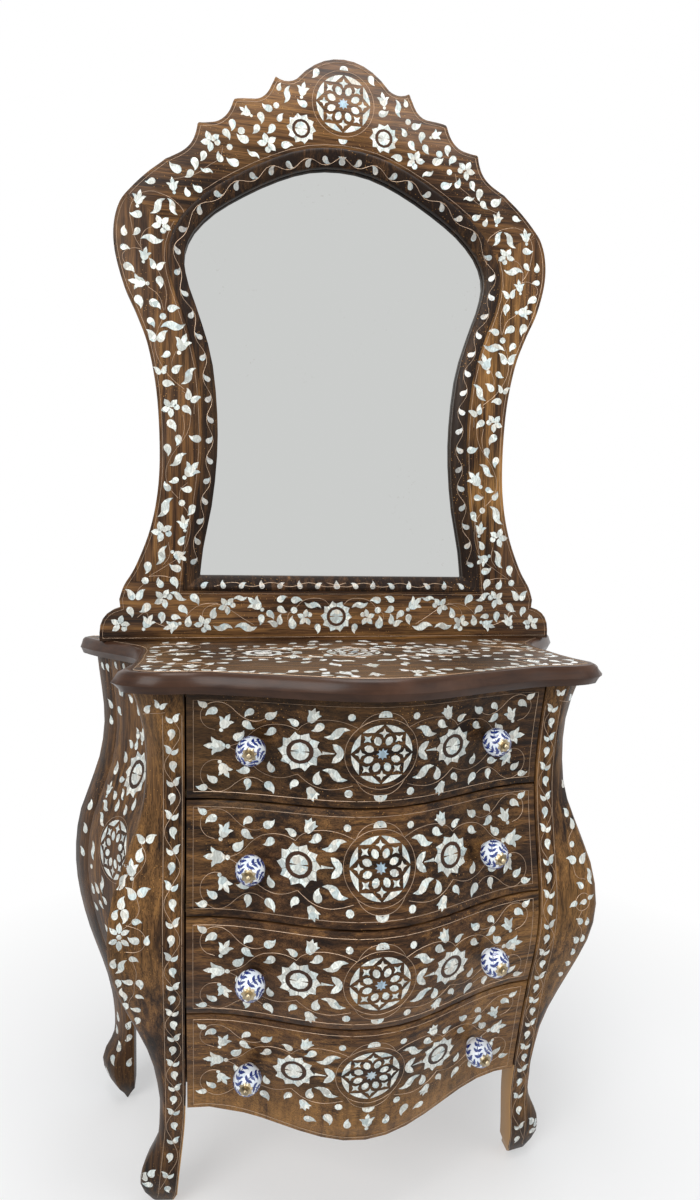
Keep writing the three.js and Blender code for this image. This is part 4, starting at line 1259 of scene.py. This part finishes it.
FRAME_VINES = [
    [(-285, 1612), (-265, 1618), (-245, 1625), (-222, 1642), (-205, 1655), (-200, 1672)],
    [(-330, 1500), (-340, 1516), (-346, 1540), (-348, 1560), (-338, 1580), (-318, 1591), (-296, 1588),
     (-278, 1580), (-262, 1560), (-268, 1548)],
    [(-330, 1498), (-331, 1513), (-323, 1530), (-308, 1537)],
    [(-356, 1474), (-360, 1486), (-352, 1496), (-330, 1498), (-316, 1483), (-300, 1460), (-291, 1435),
     (-293, 1404)],
    [(-320, 1440), (-303, 1427), (-295, 1404)],
    [(-296, 1392), (-305, 1370), (-309, 1345), (-300, 1318), (-284, 1296), (-262, 1278)],
    [(-275, 1340), (-282, 1318), (-278, 1308)],
    [(-265, 1275), (-248, 1262), (-246, 1238)],
    [(-264, 1236), (-262, 1212), (-270, 1188), (-284, 1165), (-292, 1140), (-287, 1116), (-272, 1098)],
    [(-251, 1236), (-255, 1212), (-272, 1182)],
    [(-257, 1124), (-268, 1112), (-270, 1096)],
    [(-266, 1088), (-256, 1074), (-252, 1055), (-255, 1028), (-268, 1002), (-292, 984), (-320, 966)],
    [(-288, 1024), (-286, 1002), (-296, 986)],
    [(-320, 966), (-298, 967), (-276, 962)],
    [(-326, 955), (-337, 944), (-340, 936)],
    [(-339, 897), (-325, 905), (-320, 895), (-305, 886), (-292, 881)],
    [(-205, 921), (-232, 919), (-250, 909), (-260, 897)],
    [(-232, 893), (-230, 908), (-216, 918), (-200, 918), (-182, 908), (-166, 897), (-145, 884)],
    [(-72, 913), (-60, 925), (-42, 930), (-22, 927), (-13, 919)],
    [(-86, 892), (-84, 903), (-76, 908)],
]
CREST_MIDDLE = 1765
CREST_ROSETTE = 46
CREST_RING = 53
CREST_FLOWER = (-71, 1717, 24)
RAIL_SUNBURST = (0, 898, 27)
FRAME_MOONS = listed(
    moon=[(0, 1822, 14, 90), (0, 1704, 15, -90)],
)
CREST = "mirror_crest_scalloped"
FRAME_BOARDS = (CREST, "mirror_stile_left", "mirror_stile_right", "mirror_bottom_rail")
# Heights of the frame's joints, from and to, and the distance of the border from the edges, in metres
FRAME_JOINTS = ((0.949, 0.966), (1.53, 1.605))
FRAME_INSET = 0.005
MOULDING_WAVE = 5.5
# Foot of the moulding: places of the drops and their level, levels of the wire's waves, leans of the drops
MOULDING_FOOT = (0, -33, -66, -99, -132, -165, -198, -229)
FOOT_LEVEL = 953
FOOT_WAVES = (957, 950)
FOOT_LEANS = (120, 60)
MOULDING_LEFT = [
    (-245, 992), (-241, 1026), (-235, 1060), (-229, 1094), (-224, 1128), (-221, 1162), (-220, 1196),
    (-220, 1230), (-222, 1264), (-226, 1298), (-231, 1332), (-239, 1366), (-250, 1400), (-262, 1434),
    (-272, 1468), (-274, 1502), (-264, 1536), (-238, 1570), (-208, 1597), (-178, 1615), (-150, 1632),
    (-120, 1646), (-90, 1657), (-58, 1666), (-28, 1672), (0, 1675),
]
# How far a cutter of the crest reaches back through the board
NOTCH_DEPTH = 0.8
# Left scallops of the crest: the arc of each, then places off the board that close it
SCALLOPS = [
    ([(-240.5, 1708.5), (-241.8, 1699), (-245, 1687), (-250, 1676), (-257, 1667), (-266, 1659.3),
      (-278, 1652), (-290, 1645.5), (-300, 1641.5)], [(-300, 1720)]),
    ([(-181.5, 1753.5), (-183.5, 1747), (-186.5, 1738.5), (-192, 1728), (-199.5, 1719.5),
      (-209, 1713.2), (-223, 1709.5), (-238, 1707.7), (-250, 1709)], [(-250, 1770), (-181.5, 1770)]),
    ([(-114.6, 1797.5), (-116, 1791), (-120, 1782.5), (-124.8, 1772.5), (-132, 1763.2), (-142, 1757),
      (-155, 1755), (-168, 1753.8), (-180.5, 1752.2), (-190, 1752)], [(-190, 1810), (-114.6, 1810)]),
]
LIPPING = "top_lipping_moulded"
# Rows of the section from the top down: share of the lipping's width and share of its height
LIPPING_ROWS = [(0, 0), (0.42, 0.03), (0.68, 0.16), (0.84, 0.42), (1, 0.63), (0.85, 0.73)]
LIPPING_FOOT = 0.62
# Place on the chest's depth round which the points of each row are put in order
SEEN_FROM = -0.02
# Front corners, in metres: how far out they start, how much wider than the rest they are at the most,
# where on the chest's depth and how far they reach from there
EAR_FROM = 0.3
EAR_SWELL = 1.18
EAR_PLACE = -0.12
EAR_REACH = 0.022


class CHEST_OT_lipping(bpy.types.Operator):
    """Gives the edge of the top its sloping moulding and its wide front corners"""
    bl_idname = "chest.lipping"
    bl_label = "Edge of the top"

    def execute(self, context):
        edge = altered("top_lipping", LIPPING)
        rows = {}
        for vertex in edge.data.vertices:
            rows.setdefault(round(vertex.co.z, 4), []).append(vertex)
        heights = sorted(rows, reverse=True)
        for row in rows.values():
            row.sort(key=lambda vertex: math.atan2(vertex.co.x, SEEN_FROM - vertex.co.y))
        inner = [vertex.co.copy() for vertex in rows[heights[0]]]
        nose = [vertex.co.copy() for vertex in rows[heights[3]]]
        if len(heights) != len(LIPPING_ROWS) + 1 or len(inner) != len(nose):
            raise RuntimeError("The lipping has other rows than expected")
        drop = heights[0] - heights[-1]
        for height, (share, down) in zip(heights, LIPPING_ROWS):
            for place, vertex in enumerate(rows[height]):
                vertex.co.xy = self.spot(inner[place], nose[place], share)
                vertex.co.z = heights[0] - drop * down
        for vertex in rows[heights[-1]]:
            gaps = [((vertex.co.xy - a.xy.lerp(b.xy, share)).length, share, place)
                    for place, (a, b) in enumerate(zip(inner, nose)) for share in (0, 0.5)]
            share, place = min(gaps)[1:]
            if share:
                vertex.co.xy = self.spot(inner[place], nose[place], LIPPING_FOOT)
        edge.data.update()
        coated(edge, FINISH["stained"])
        eased(edge)
        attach(edge, "case")
        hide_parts("top_lipping")
        return {"FINISHED"}

    @staticmethod
    def spot(inner, nose, share):
        """A place of the section, further out at the front corners."""
        swell = 0
        if abs(nose.x) > EAR_FROM:
            swell = EAR_SWELL * math.exp(-(((nose.y - EAR_PLACE) / EAR_REACH) ** 2))
        return inner.xy + (nose.xy - inner.xy) * share * (1 + swell)


def mirror_plane():
    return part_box("mirror_bottom_rail")[0].y


class CHEST_OT_crest(bpy.types.Operator):
    """Cuts the deep scallops into the crest board"""
    bl_idname = "chest.crest"
    bl_label = "Crest"

    def execute(self, context):
        crest = altered("mirror_crest", CREST)
        for arc, beyond in SCALLOPS:
            cutter = with_mirror(self.notch(arc, beyond))
            apply_modifier(crest, "BOOLEAN", object=cutter, operation="DIFFERENCE", solver="EXACT")
            discard(cutter)
        coated(crest, FINISH["mirror_crest"])
        eased(crest)
        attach(crest, "case")
        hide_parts("mirror_crest")
        return {"FINISHED"}

    @staticmethod
    def notch(arc, beyond):
        """A solid through the board, with the arc as one side."""
        line = wire(arc)
        spots = [(v.co.x / MM, v.co.z / MM) for v in line.data.vertices]
        discard(line)
        obj = chain(spots + beyond, closed=True)
        with editing(obj):
            bpy.ops.mesh.edge_face_add()
            bpy.ops.mesh.extrude_region_move()
            bpy.ops.transform.translate(value=(0, NOTCH_DEPTH, 0))
            face_outwards()
        return obj


class CHEST_OT_mirror_inlay(bpy.types.Operator):
    """Inlays the crest, stiles and bottom rail of the mirror frame"""
    bl_idname = "chest.mirror_inlay"
    bl_label = "Mirror frame inlay"

    def execute(self, context):
        plane = mirror_plane() - DRAWING_PLANE
        half = both(pieces(CREST_LEAVES + STILE_LEAVES + RAIL_LEAVES) + sunburst(*CREST_FLOWER))
        centre = rosette(0, CREST_MIDDLE, CREST_ROSETTE) + sunburst(*RAIL_SUNBURST) + pieces(FRAME_MOONS)
        spark = laid("spark", 0, CREST_MIDDLE, SPARK_SHARE * CREST_ROSETTE, 90)
        rings = [with_mirror(band(*CREST_FLOWER)), band(*RAIL_SUNBURST)]
        for name, rows, finish, slot in (("pearl", [half] + centre, "pearl", "walnut"),
                                         ("shell", [spark], "blue_pearl", "walnut"),
                                         ("rings", rings, "stained", "dark_walnut")):
            obj = joined(rows, f"mirror_frame_{name}")
            obj.data.transform(Matrix.Translation((0, plane - settings()[1].pearl_proud, 0)))
            finished(thickened(obj), "case", FINISH[finish])
        lines = joined([both(wires(FRAME_VINES)), ring(0, CREST_MIDDLE, CREST_RING)], "mirror_frame_wires")
        lines.data.transform(Matrix.Translation((0, plane, 0)))
        edges = inner_line(FRAME_BOARDS, 1, mirror_plane(), FRAME_INSET, FRAME_JOINTS)
        finished(drawn(joined([lines, edges], "mirror_frame_wires")), "case", FINISH["wire"])
        self.moulding()
        return {"FINISHED"}

    @staticmethod
    def moulding():
        """Drops along a wavy wire round the glass."""
        rows, vine = [], []
        for k, (x, z) in enumerate(MOULDING_LEFT):
            (x1, z1), *_, (x2, z2) = MOULDING_LEFT[max(k - 1, 0):k + 2]
            along = math.degrees(math.atan2(z2 - z1, x2 - x1))
            hand = 1 if k % 2 else -1
            rows.append(("leaf", x, z, 14, along + 60 * hand, hand))
            off = math.radians(along + 90 * hand)
            vine.append((x + MOULDING_WAVE * math.cos(off), z + MOULDING_WAVE * math.sin(off)))
        rows += [("leaf", x, FOOT_LEVEL, 14, FOOT_LEANS[k % 2]) for k, x in enumerate(MOULDING_FOOT)]
        foot = [(x + 17, FOOT_WAVES[k % 2]) for k, x in enumerate(MOULDING_FOOT)]
        place = "mirror_inner_moulding", "front", "case"
        # The drops take the pearl darkened as painted shade
        inlaid("moulding_pearl", [both(pieces(rows))], *place, "dim_pearl")
        wired("moulding_wires", [both(wires([vine, foot]))], *place)


# Top: left half, in millimetres across and towards the back

TOP_LEAVES = listed(
    leaf=[(-292, 140, 16, 90), (-226, 124, 18, 250), (-288, 92, 18, 0), (-303, 82, 18, 250),
          (-303, 45, 15, 10), (-303, 25, 12, 180), (-275, 45, 20, 260), (-228, 28, 17, 180),
          (-218, 5, 13, 0), (-201, 5, 12, 180), (-197, 62, 17, 20), (-193, 30, 14, 100), (-169, 82, 17, 60),
          (-145, 80, 17, 270), (-174, 47, 14, 140), (-225, -26, 17, 0), (-191, -22, 17, 80),
          (-173, -42, 14, 200), (-197, -57, 16, 180), (-169, -70, 17, 220), (-145, -63, 13, 0),
          (-267, -52, 20, 120), (-240, -66, 20, 240), (-273, -90, 15, 80), (-277, -118, 18, 260),
          (-221, -96, 17, 80), (-202, -91, 15, 200), (-207, -137, 18, 110), (-302, -45, 14, 0),
          (-304, -20, 13, 180), (-295, 0, 16, 90), (-305, -108, 15, 60), (-303, -130, 16, 130),
          (-284, -144, 16, 30), (-265, -147, 14, 0), (-227, -150, 15, 150), (-209, -156, 16, 20),
          (-190, -164, 16, 20), (-153, -180, 14, 30), (-135, -187, 15, 20), (-119, 103, 17, 0),
          (-82, 114, 17, 250), (-53, 100, 20, 80), (-44, 136, 22, 250), (-78, 75, 17, 0),
          (-120, 62, 18, 250), (-124, -56, 15, 100), (-82, -62, 18, 70), (-60, -76, 16, 260),
          (-121, -86, 17, 30), (-88, -95, 17, 60), (-115, -172, 20, 250), (-92, -175, 18, 30),
          (-74, -160, 16, 90), (-74, -187, 16, 80), (-75, -205, 15, 0), (-34, -175, 16, 90),
          (-42, -215, 16, 120), (-58, -217, 14, 0), (-42, 40, 20, 250), (-47, -28, 20, 110),
          (-30, 98, 22, 45)],
    tulip=[(-265, 132, 26, 60), (-262, 2, 32, 180), (-245, -115, 28, 90), (-99, 48, 32, 100),
          (-99, -38, 32, 260), (-49, -190, 26, 110)],
    pair=[(-258, 85, 28, 90), (-300, -72, 20, 60), (-247, -147, 18, 80), (-172, -171, 17, 90),
          (-84, 5, 24, 180)],
    long=[(-62, 58, 32, 55), (-66, -42, 30, -40), (-50, -120, 30, -60), (-32, -85, 30, 0)],
)
TOP_MIDDLE = listed(
    tulip=[(0, -130, 30, 90), (-12, -205, 26, 270)],
    moon=[(0, 62, 17, 90), (0, -55, 17, 270)],
    leaf=[(0, 138, 20, 90)],
)
TOP_STALK = listed(
    spear=[(-99, 4, 15, 0)],
)
TOP_VINES = [
    [(-190, 5), (-170, 40), (-140, 52), (-110, 40), (-80, 50), (-55, 45)],
    [(-190, 5), (-170, -35), (-140, -48), (-110, -36), (-80, -46), (-55, -42)],
    [(-300, 120), (-250, 110), (-235, 70), (-262, 40), (-290, 20), (-296, -20), (-285, -80), (-262, -95),
     (-235, -85), (-222, -110), (-232, -140)],
]
# How much larger the leaves of the top are than listed
TOP_GROWTH = 1.08
TOP_SUNBURST = (-140, 4, 32)
TOP_ROSETTE = (0, 4, 42)
TOP_RING = (0, 4, 49)
TOP_SPARK = (0, 4, 16)
TOP_INSET = 0.0025


class CHEST_OT_top_inlay(bpy.types.Operator):
    """Inlays the field of the top"""
    bl_idname = "chest.top_inlay"
    bl_label = "Top inlay"

    def execute(self, context):
        leaves = [(shape, x, y, size * TOP_GROWTH, *rest) for shape, x, y, size, *rest in TOP_LEAVES]
        half = both(pieces(leaves) + sunburst(*TOP_SUNBURST) + pieces(TOP_STALK))
        place = "top_panel", "top", "case"
        # The top's pearl takes the finish lightened as painted light
        inlaid("top_pearl", [half] + rosette(*TOP_ROSETTE) + pieces(TOP_MIDDLE), *place, "top_pearl")
        wired("top_wires", [both(wires(TOP_VINES)), ring(*TOP_RING)], *place)
        border = inner_line(["top_panel"], 2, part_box("top_panel")[1].z, TOP_INSET)
        border.name = "top_border"
        finished(drawn(border), "case", FINISH["wire"])
        inlaid("top_rings", [with_mirror(band(*TOP_SUNBURST))], *place, "stained", "dark_walnut")
        inlaid("top_shell", [laid("spark", *TOP_SPARK, 90)], *place, "blue_pearl")
        return {"FINISHED"}


# Sides: across from the front to the back and up, in millimetres; the rear part slants, so what lies on it
# is narrowed by this share

SIDE_SLANT = 0.62
SIDE_LEAVES = listed(
    pair=[(187, 762, 18, 100), (142, 380, 24, 270)],
    leaf=[(195, 732, 18, 250), (153, 702, 20, 85), (166, 682, 18, 60), (154, 682, 18, 120),
          (173, 657, 20, 80), (187, 634, 22, 100), (168, 619, 17, 190), (171, 593, 18, 60),
          (158, 578, 20, 100), (138, 577, 18, 80), (124, 590, 20, 100), (194, 420, 18, 100),
          (183, 426, 20, 80), (169, 410, 17, 60), (181, 397, 16, 250), (195, 388, 15, 80),
          (128, 425, 20, 80), (150, 742, 18, 90), (165, 760, 18, 60), (160, 368, 16, 80),
          (182, 352, 16, 100)],
    long=[(156, 598, 22, 70), (183, 571, 30, 45), (181, 548, 30, 60), (190, 490, 32, 100),
          (170, 437, 32, 120)],
    tulip=[(188, 598, 26, 90), (142, 700, 26, 90)],
    dot=[(193, 461, 9, 0)],
)
SIDE_DROPS = [("leaf", 228 - 19 * k, 812, 14, 280 if k % 2 else 260) for k in range(2, 8)]
SIDE_SUNBURST = (141 / SIDE_SLANT, 636, 38)
SIDE_ROSETTE = (142 / SIDE_SLANT, 508, 50)
SIDE_RING = (142 / SIDE_SLANT, 508, 56)
SIDE_FRONT = listed(
    tulip=[(20, 700, 30, 90), (20, 392, 28, 270)],
    leaf=[(0, 680, 20, 60), (42, 676, 20, 120), (-12, 640, 20, 80), (50, 640, 20, 100), (-14, 550, 20, 40),
          (54, 548, 20, 140), (-8, 440, 20, 120), (48, 438, 20, 60), (0, 360, 18, 60), (40, 358, 18, 120),
          (20, 330, 18, 90), (20, 745, 20, 90)],
    long=[(-16, 600, 34, 70), (52, 596, 34, 110), (-10, 500, 34, 110), (50, 498, 34, 70)],
    flower=[(20, 560, 34, 90), (20, 450, 32, 90)],
)
SIDE_VINES = [
    [(20, 735), (18, 700), (28, 660), (14, 620), (20, 570)], [(20, 545), (10, 520), (28, 480), (20, 455)],
    [(-6, 672), (8, 664), (22, 668)], [(54, 630), (38, 622), (18, 640)],
]
REAR_LEG_SIDE = listed(
    leaf=[(216, 741, 17, 80), (216, 712, 16, 100), (226, 806, 14, 260), (212, 806, 14, 280),
          (216, 562, 18, 100), (214, 522, 18, 80), (216, 480, 17, 80), (228, 162, 17, 100),
          (214, 115, 17, 80), (214, 91, 17, 250), (232, 136, 15, 80), (230, 60, 15, 90)],
)
REAR_LEG_FRONT = listed(
    leaf=[(-361, 161, 17, 80), (-360, 136, 16, 250), (-360, 91, 16, 90)],
)


class CHEST_OT_side_inlay(bpy.types.Operator):
    """Inlays the swelling sides and the rear legs"""
    bl_idname = "chest.side_inlay"
    bl_label = "Side inlay"

    def execute(self, context):
        leaves = [(shape, y / SIDE_SLANT, *rest) for shape, y, *rest in SIDE_LEAVES + SIDE_DROPS]
        for side in SIDES:
            panel, post = f"side_panel_{side}", f"rear_post_{side}"
            pearls = self.slanted(pieces(leaves) + sunburst(*SIDE_SUNBURST) + rosette(*SIDE_ROSETTE))
            self.press(f"side_{side}_pearl", pieces(SIDE_FRONT) + [pearls], panel, side, inlaid)
            lines = [self.slanted([ring(*SIDE_RING)])] + wires(SIDE_VINES)
            self.press(f"side_{side}_wires", lines, panel, side, wired)
            dark = self.slanted([band(*SIDE_SUNBURST)])
            self.press(f"side_{side}_rings", [dark], panel, side, inlaid, "stained", "dark_walnut")
            self.press(f"rear_leg_{side}_pearl", pieces(REAR_LEG_SIDE), post, side, inlaid)
            leg = joined(pieces(REAR_LEG_FRONT), "leg")
            if side == "right":
                turned_over(leg)
            inlaid(f"rear_leg_{side}_pearl_front", [leg], post, "front", "case")
        return {"FINISHED"}

    @staticmethod
    def slanted(rows):
        """Pieces laid out square to the slanting face, narrowed as they are seen from the side."""
        obj = joined(rows, "slanted")
        obj.data.transform(across(SIDE_SLANT))
        return obj

    @staticmethod
    def press(name, rows, target, side, make, *finish):
        """Pieces laid out as the right side is seen, pressed onto it or mirrored for the left one."""
        obj = joined(rows, name)
        if side == "left":
            turned_over(obj)
        make(name, [obj], target, side, "case", *finish)


# Screws, in metres: heights on a batten's middle line, places across the back and heights of its two rows
BATTEN_SCREWS = (0.9, 1.0, 1.12, 1.26, 1.38)
BACK_SCREWS = (-0.36, -0.12, 0.12, 0.36)
BACK_ROWS = (0.25, 0.81)


class CHEST_OT_back_screws(bpy.types.Operator):
    """Puts the screws that hold the mirror's battens and the back"""
    bl_idname = "chest.back_screws"
    bl_label = "Screws of the back"

    def execute(self, context):
        screw = turned("screw", SCREW, 12)
        spots = []
        for side in SIDES:
            low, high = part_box(f"mirror_batten_{side}")
            spots += [((low.x + high.x) / 2, high.y, z) for z in BATTEN_SCREWS]
        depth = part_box("back_panel")[1].y
        spots += [(x, depth, z) for x in BACK_SCREWS for z in BACK_ROWS]
        behind = Matrix.Rotation(math.pi, 4, "Z")
        screws = [copied(screw, Matrix.Translation(spot) @ behind) for spot in spots]
        discard(screw)
        finished(joined(screws, "back_screws"), "case", FINISH["brass"])
        return {"FINISHED"}


# Camera: turn, tilt and roll in degrees, then its place in metres
CAMERA_TURN = (10.957, -3.8985, 0.8605)
CAMERA_PLACE = (-0.2272, -1.1344, 1.0172)


class CHEST_OT_studio(bpy.types.Operator):
    """Sets the camera, the pale floor and the soft lights"""
    bl_idname = "chest.studio"
    bl_label = "Studio"

    def execute(self, context):
        studio = settings()[2]
        self.camera()
        clear_selection()
        bpy.ops.mesh.primitive_plane_add(size=30, location=(0, 0, 0))
        floor = bpy.context.object
        floor.name = "floor"
        floor.data.materials.append(self.pale(studio.floor))
        self.area("key", (-2.1, -2.6, 2.7), (0, 0, 0.9), 1.8, studio.key)
        self.area("fill", (2.6, -2.4, 1.8), (0, 0, 0.8), 2.2, studio.fill)
        self.area("overhead", (0, -0.7, 3.4), (0, -0.1, 0.8), 1.6, studio.overhead)
        self.world()
        context.scene.view_settings.view_transform = "Standard"
        return {"FINISHED"}

    @staticmethod
    def camera():
        yaw, pitch, roll = (math.radians(v) for v in CAMERA_TURN)
        look = Vector((math.sin(yaw) * math.cos(pitch), math.cos(yaw) * math.cos(pitch), math.sin(pitch)))
        right = look.cross(Vector((0, 0, 1))).normalized()
        up = right.cross(look)
        level = right * math.cos(roll) + up * math.sin(roll)
        upward = up * math.cos(roll) - right * math.sin(roll)
        data = bpy.data.cameras.new("camera")
        data.sensor_width = 36
        data.lens = 22.5
        camera = added("camera", data)
        turn = Matrix((level, upward, -look)).transposed()
        camera.matrix_world = Matrix.Translation(CAMERA_PLACE) @ turn.to_4x4()
        bpy.context.scene.camera = camera

    @staticmethod
    def area(name, place, target, size, power):
        data = bpy.data.lights.new(name, "AREA")
        data.size = size
        data.energy = power
        lamp = added(name, data)
        lamp.location = place
        lamp.rotation_euler = (Vector(target) - Vector(place)).to_track_quat("-Z", "Y").to_euler()

    @staticmethod
    def seen(m):
        """One where the camera, a reflection or glass sees the surface, and nought for its light."""
        path = m.add("ShaderNodeLightPath").outputs
        total = path["Is Camera Ray"]
        for name in ("Is Glossy Ray", "Is Transmission Ray"):
            total = m.calc("MAXIMUM", total, path[name])
        return total

    @staticmethod
    def pale(base):
        material = bpy.data.materials.new("Pale floor")
        material.use_nodes = True
        material.node_tree.nodes.clear()
        m = Tree(material.node_tree)
        cloth = m.add("ShaderNodeBsdfDiffuse", {"Color": (*base, 1)}).outputs[0]
        glow = m.add("ShaderNodeEmission").outputs[0]
        place = m.add("ShaderNodeTexCoord").outputs["Object"]
        far = m.add("ShaderNodeVectorMath", {0: place}, operation="LENGTH").outputs["Value"]
        share = m.calc("MULTIPLY", CHEST_OT_studio.seen(m), m.ranged(far, 0.45, 1.3, 0.45, 1))
        mix = m.add("ShaderNodeMixShader", {0: share, 1: cloth, 2: glow}).outputs[0]
        m.add("ShaderNodeOutputMaterial", {0: mix})
        return material

    @staticmethod
    def world():
        world = bpy.data.worlds.new("studio")
        bpy.context.scene.world = world
        world.use_nodes = True
        m = Tree(world.node_tree)
        back = m.tree.nodes["Background"]
        m.feed(back.inputs["Color"], (1, 1, 1, 1))
        m.feed(back.inputs["Strength"], 1)
        light = m.add("ShaderNodeBackground", {"Color": (0.9, 0.95, 1, 1), "Strength": 0.34}).outputs[0]
        mix = m.add("ShaderNodeMixShader", {0: CHEST_OT_studio.seen(m), 1: light, 2: back.outputs[0]})
        m.feed(m.tree.nodes["World Output"].inputs[0], mix.outputs[0])


STEPS = ("studio", "finishes", "drawer_inlay", "knobs", "post_inlay", "lipping", "crest", "mirror_inlay",
         "top_inlay", "side_inlay", "back_screws")


class CHEST_PT_panel(bpy.types.Panel):
    """Lists the steps that dress the chest"""
    bl_label = "Chest"
    bl_space_type = "VIEW_3D"
    bl_region_type = "UI"
    bl_category = "Chest"

    def draw(self, context):
        for name in STEPS:
            self.layout.operator(f"chest.{name}")


CLASSES = (
    ChestFinishes, ChestInlay, ChestStudio, CHEST_OT_studio, CHEST_OT_finishes, CHEST_OT_drawer_inlay,
    CHEST_OT_knobs, CHEST_OT_post_inlay, CHEST_OT_lipping, CHEST_OT_crest, CHEST_OT_mirror_inlay,
    CHEST_OT_top_inlay, CHEST_OT_side_inlay, CHEST_OT_back_screws, CHEST_PT_panel,
)


def register():
    for cls in CLASSES:
        bpy.utils.register_class(cls)
    bpy.types.Scene.chest_finishes = PointerProperty(type=ChestFinishes)
    bpy.types.Scene.chest_inlay = PointerProperty(type=ChestInlay)
    bpy.types.Scene.chest_studio = PointerProperty(type=ChestStudio)


def unregister():
    del bpy.types.Scene.chest_studio
    del bpy.types.Scene.chest_inlay
    del bpy.types.Scene.chest_finishes
    for cls in reversed(CLASSES):
        bpy.utils.unregister_class(cls)


def main():
    register()
    make_shapes()
    for name in STEPS:
        getattr(bpy.ops.chest, name)()
    drop_shapes()


if __name__ == "__main__":
    main()
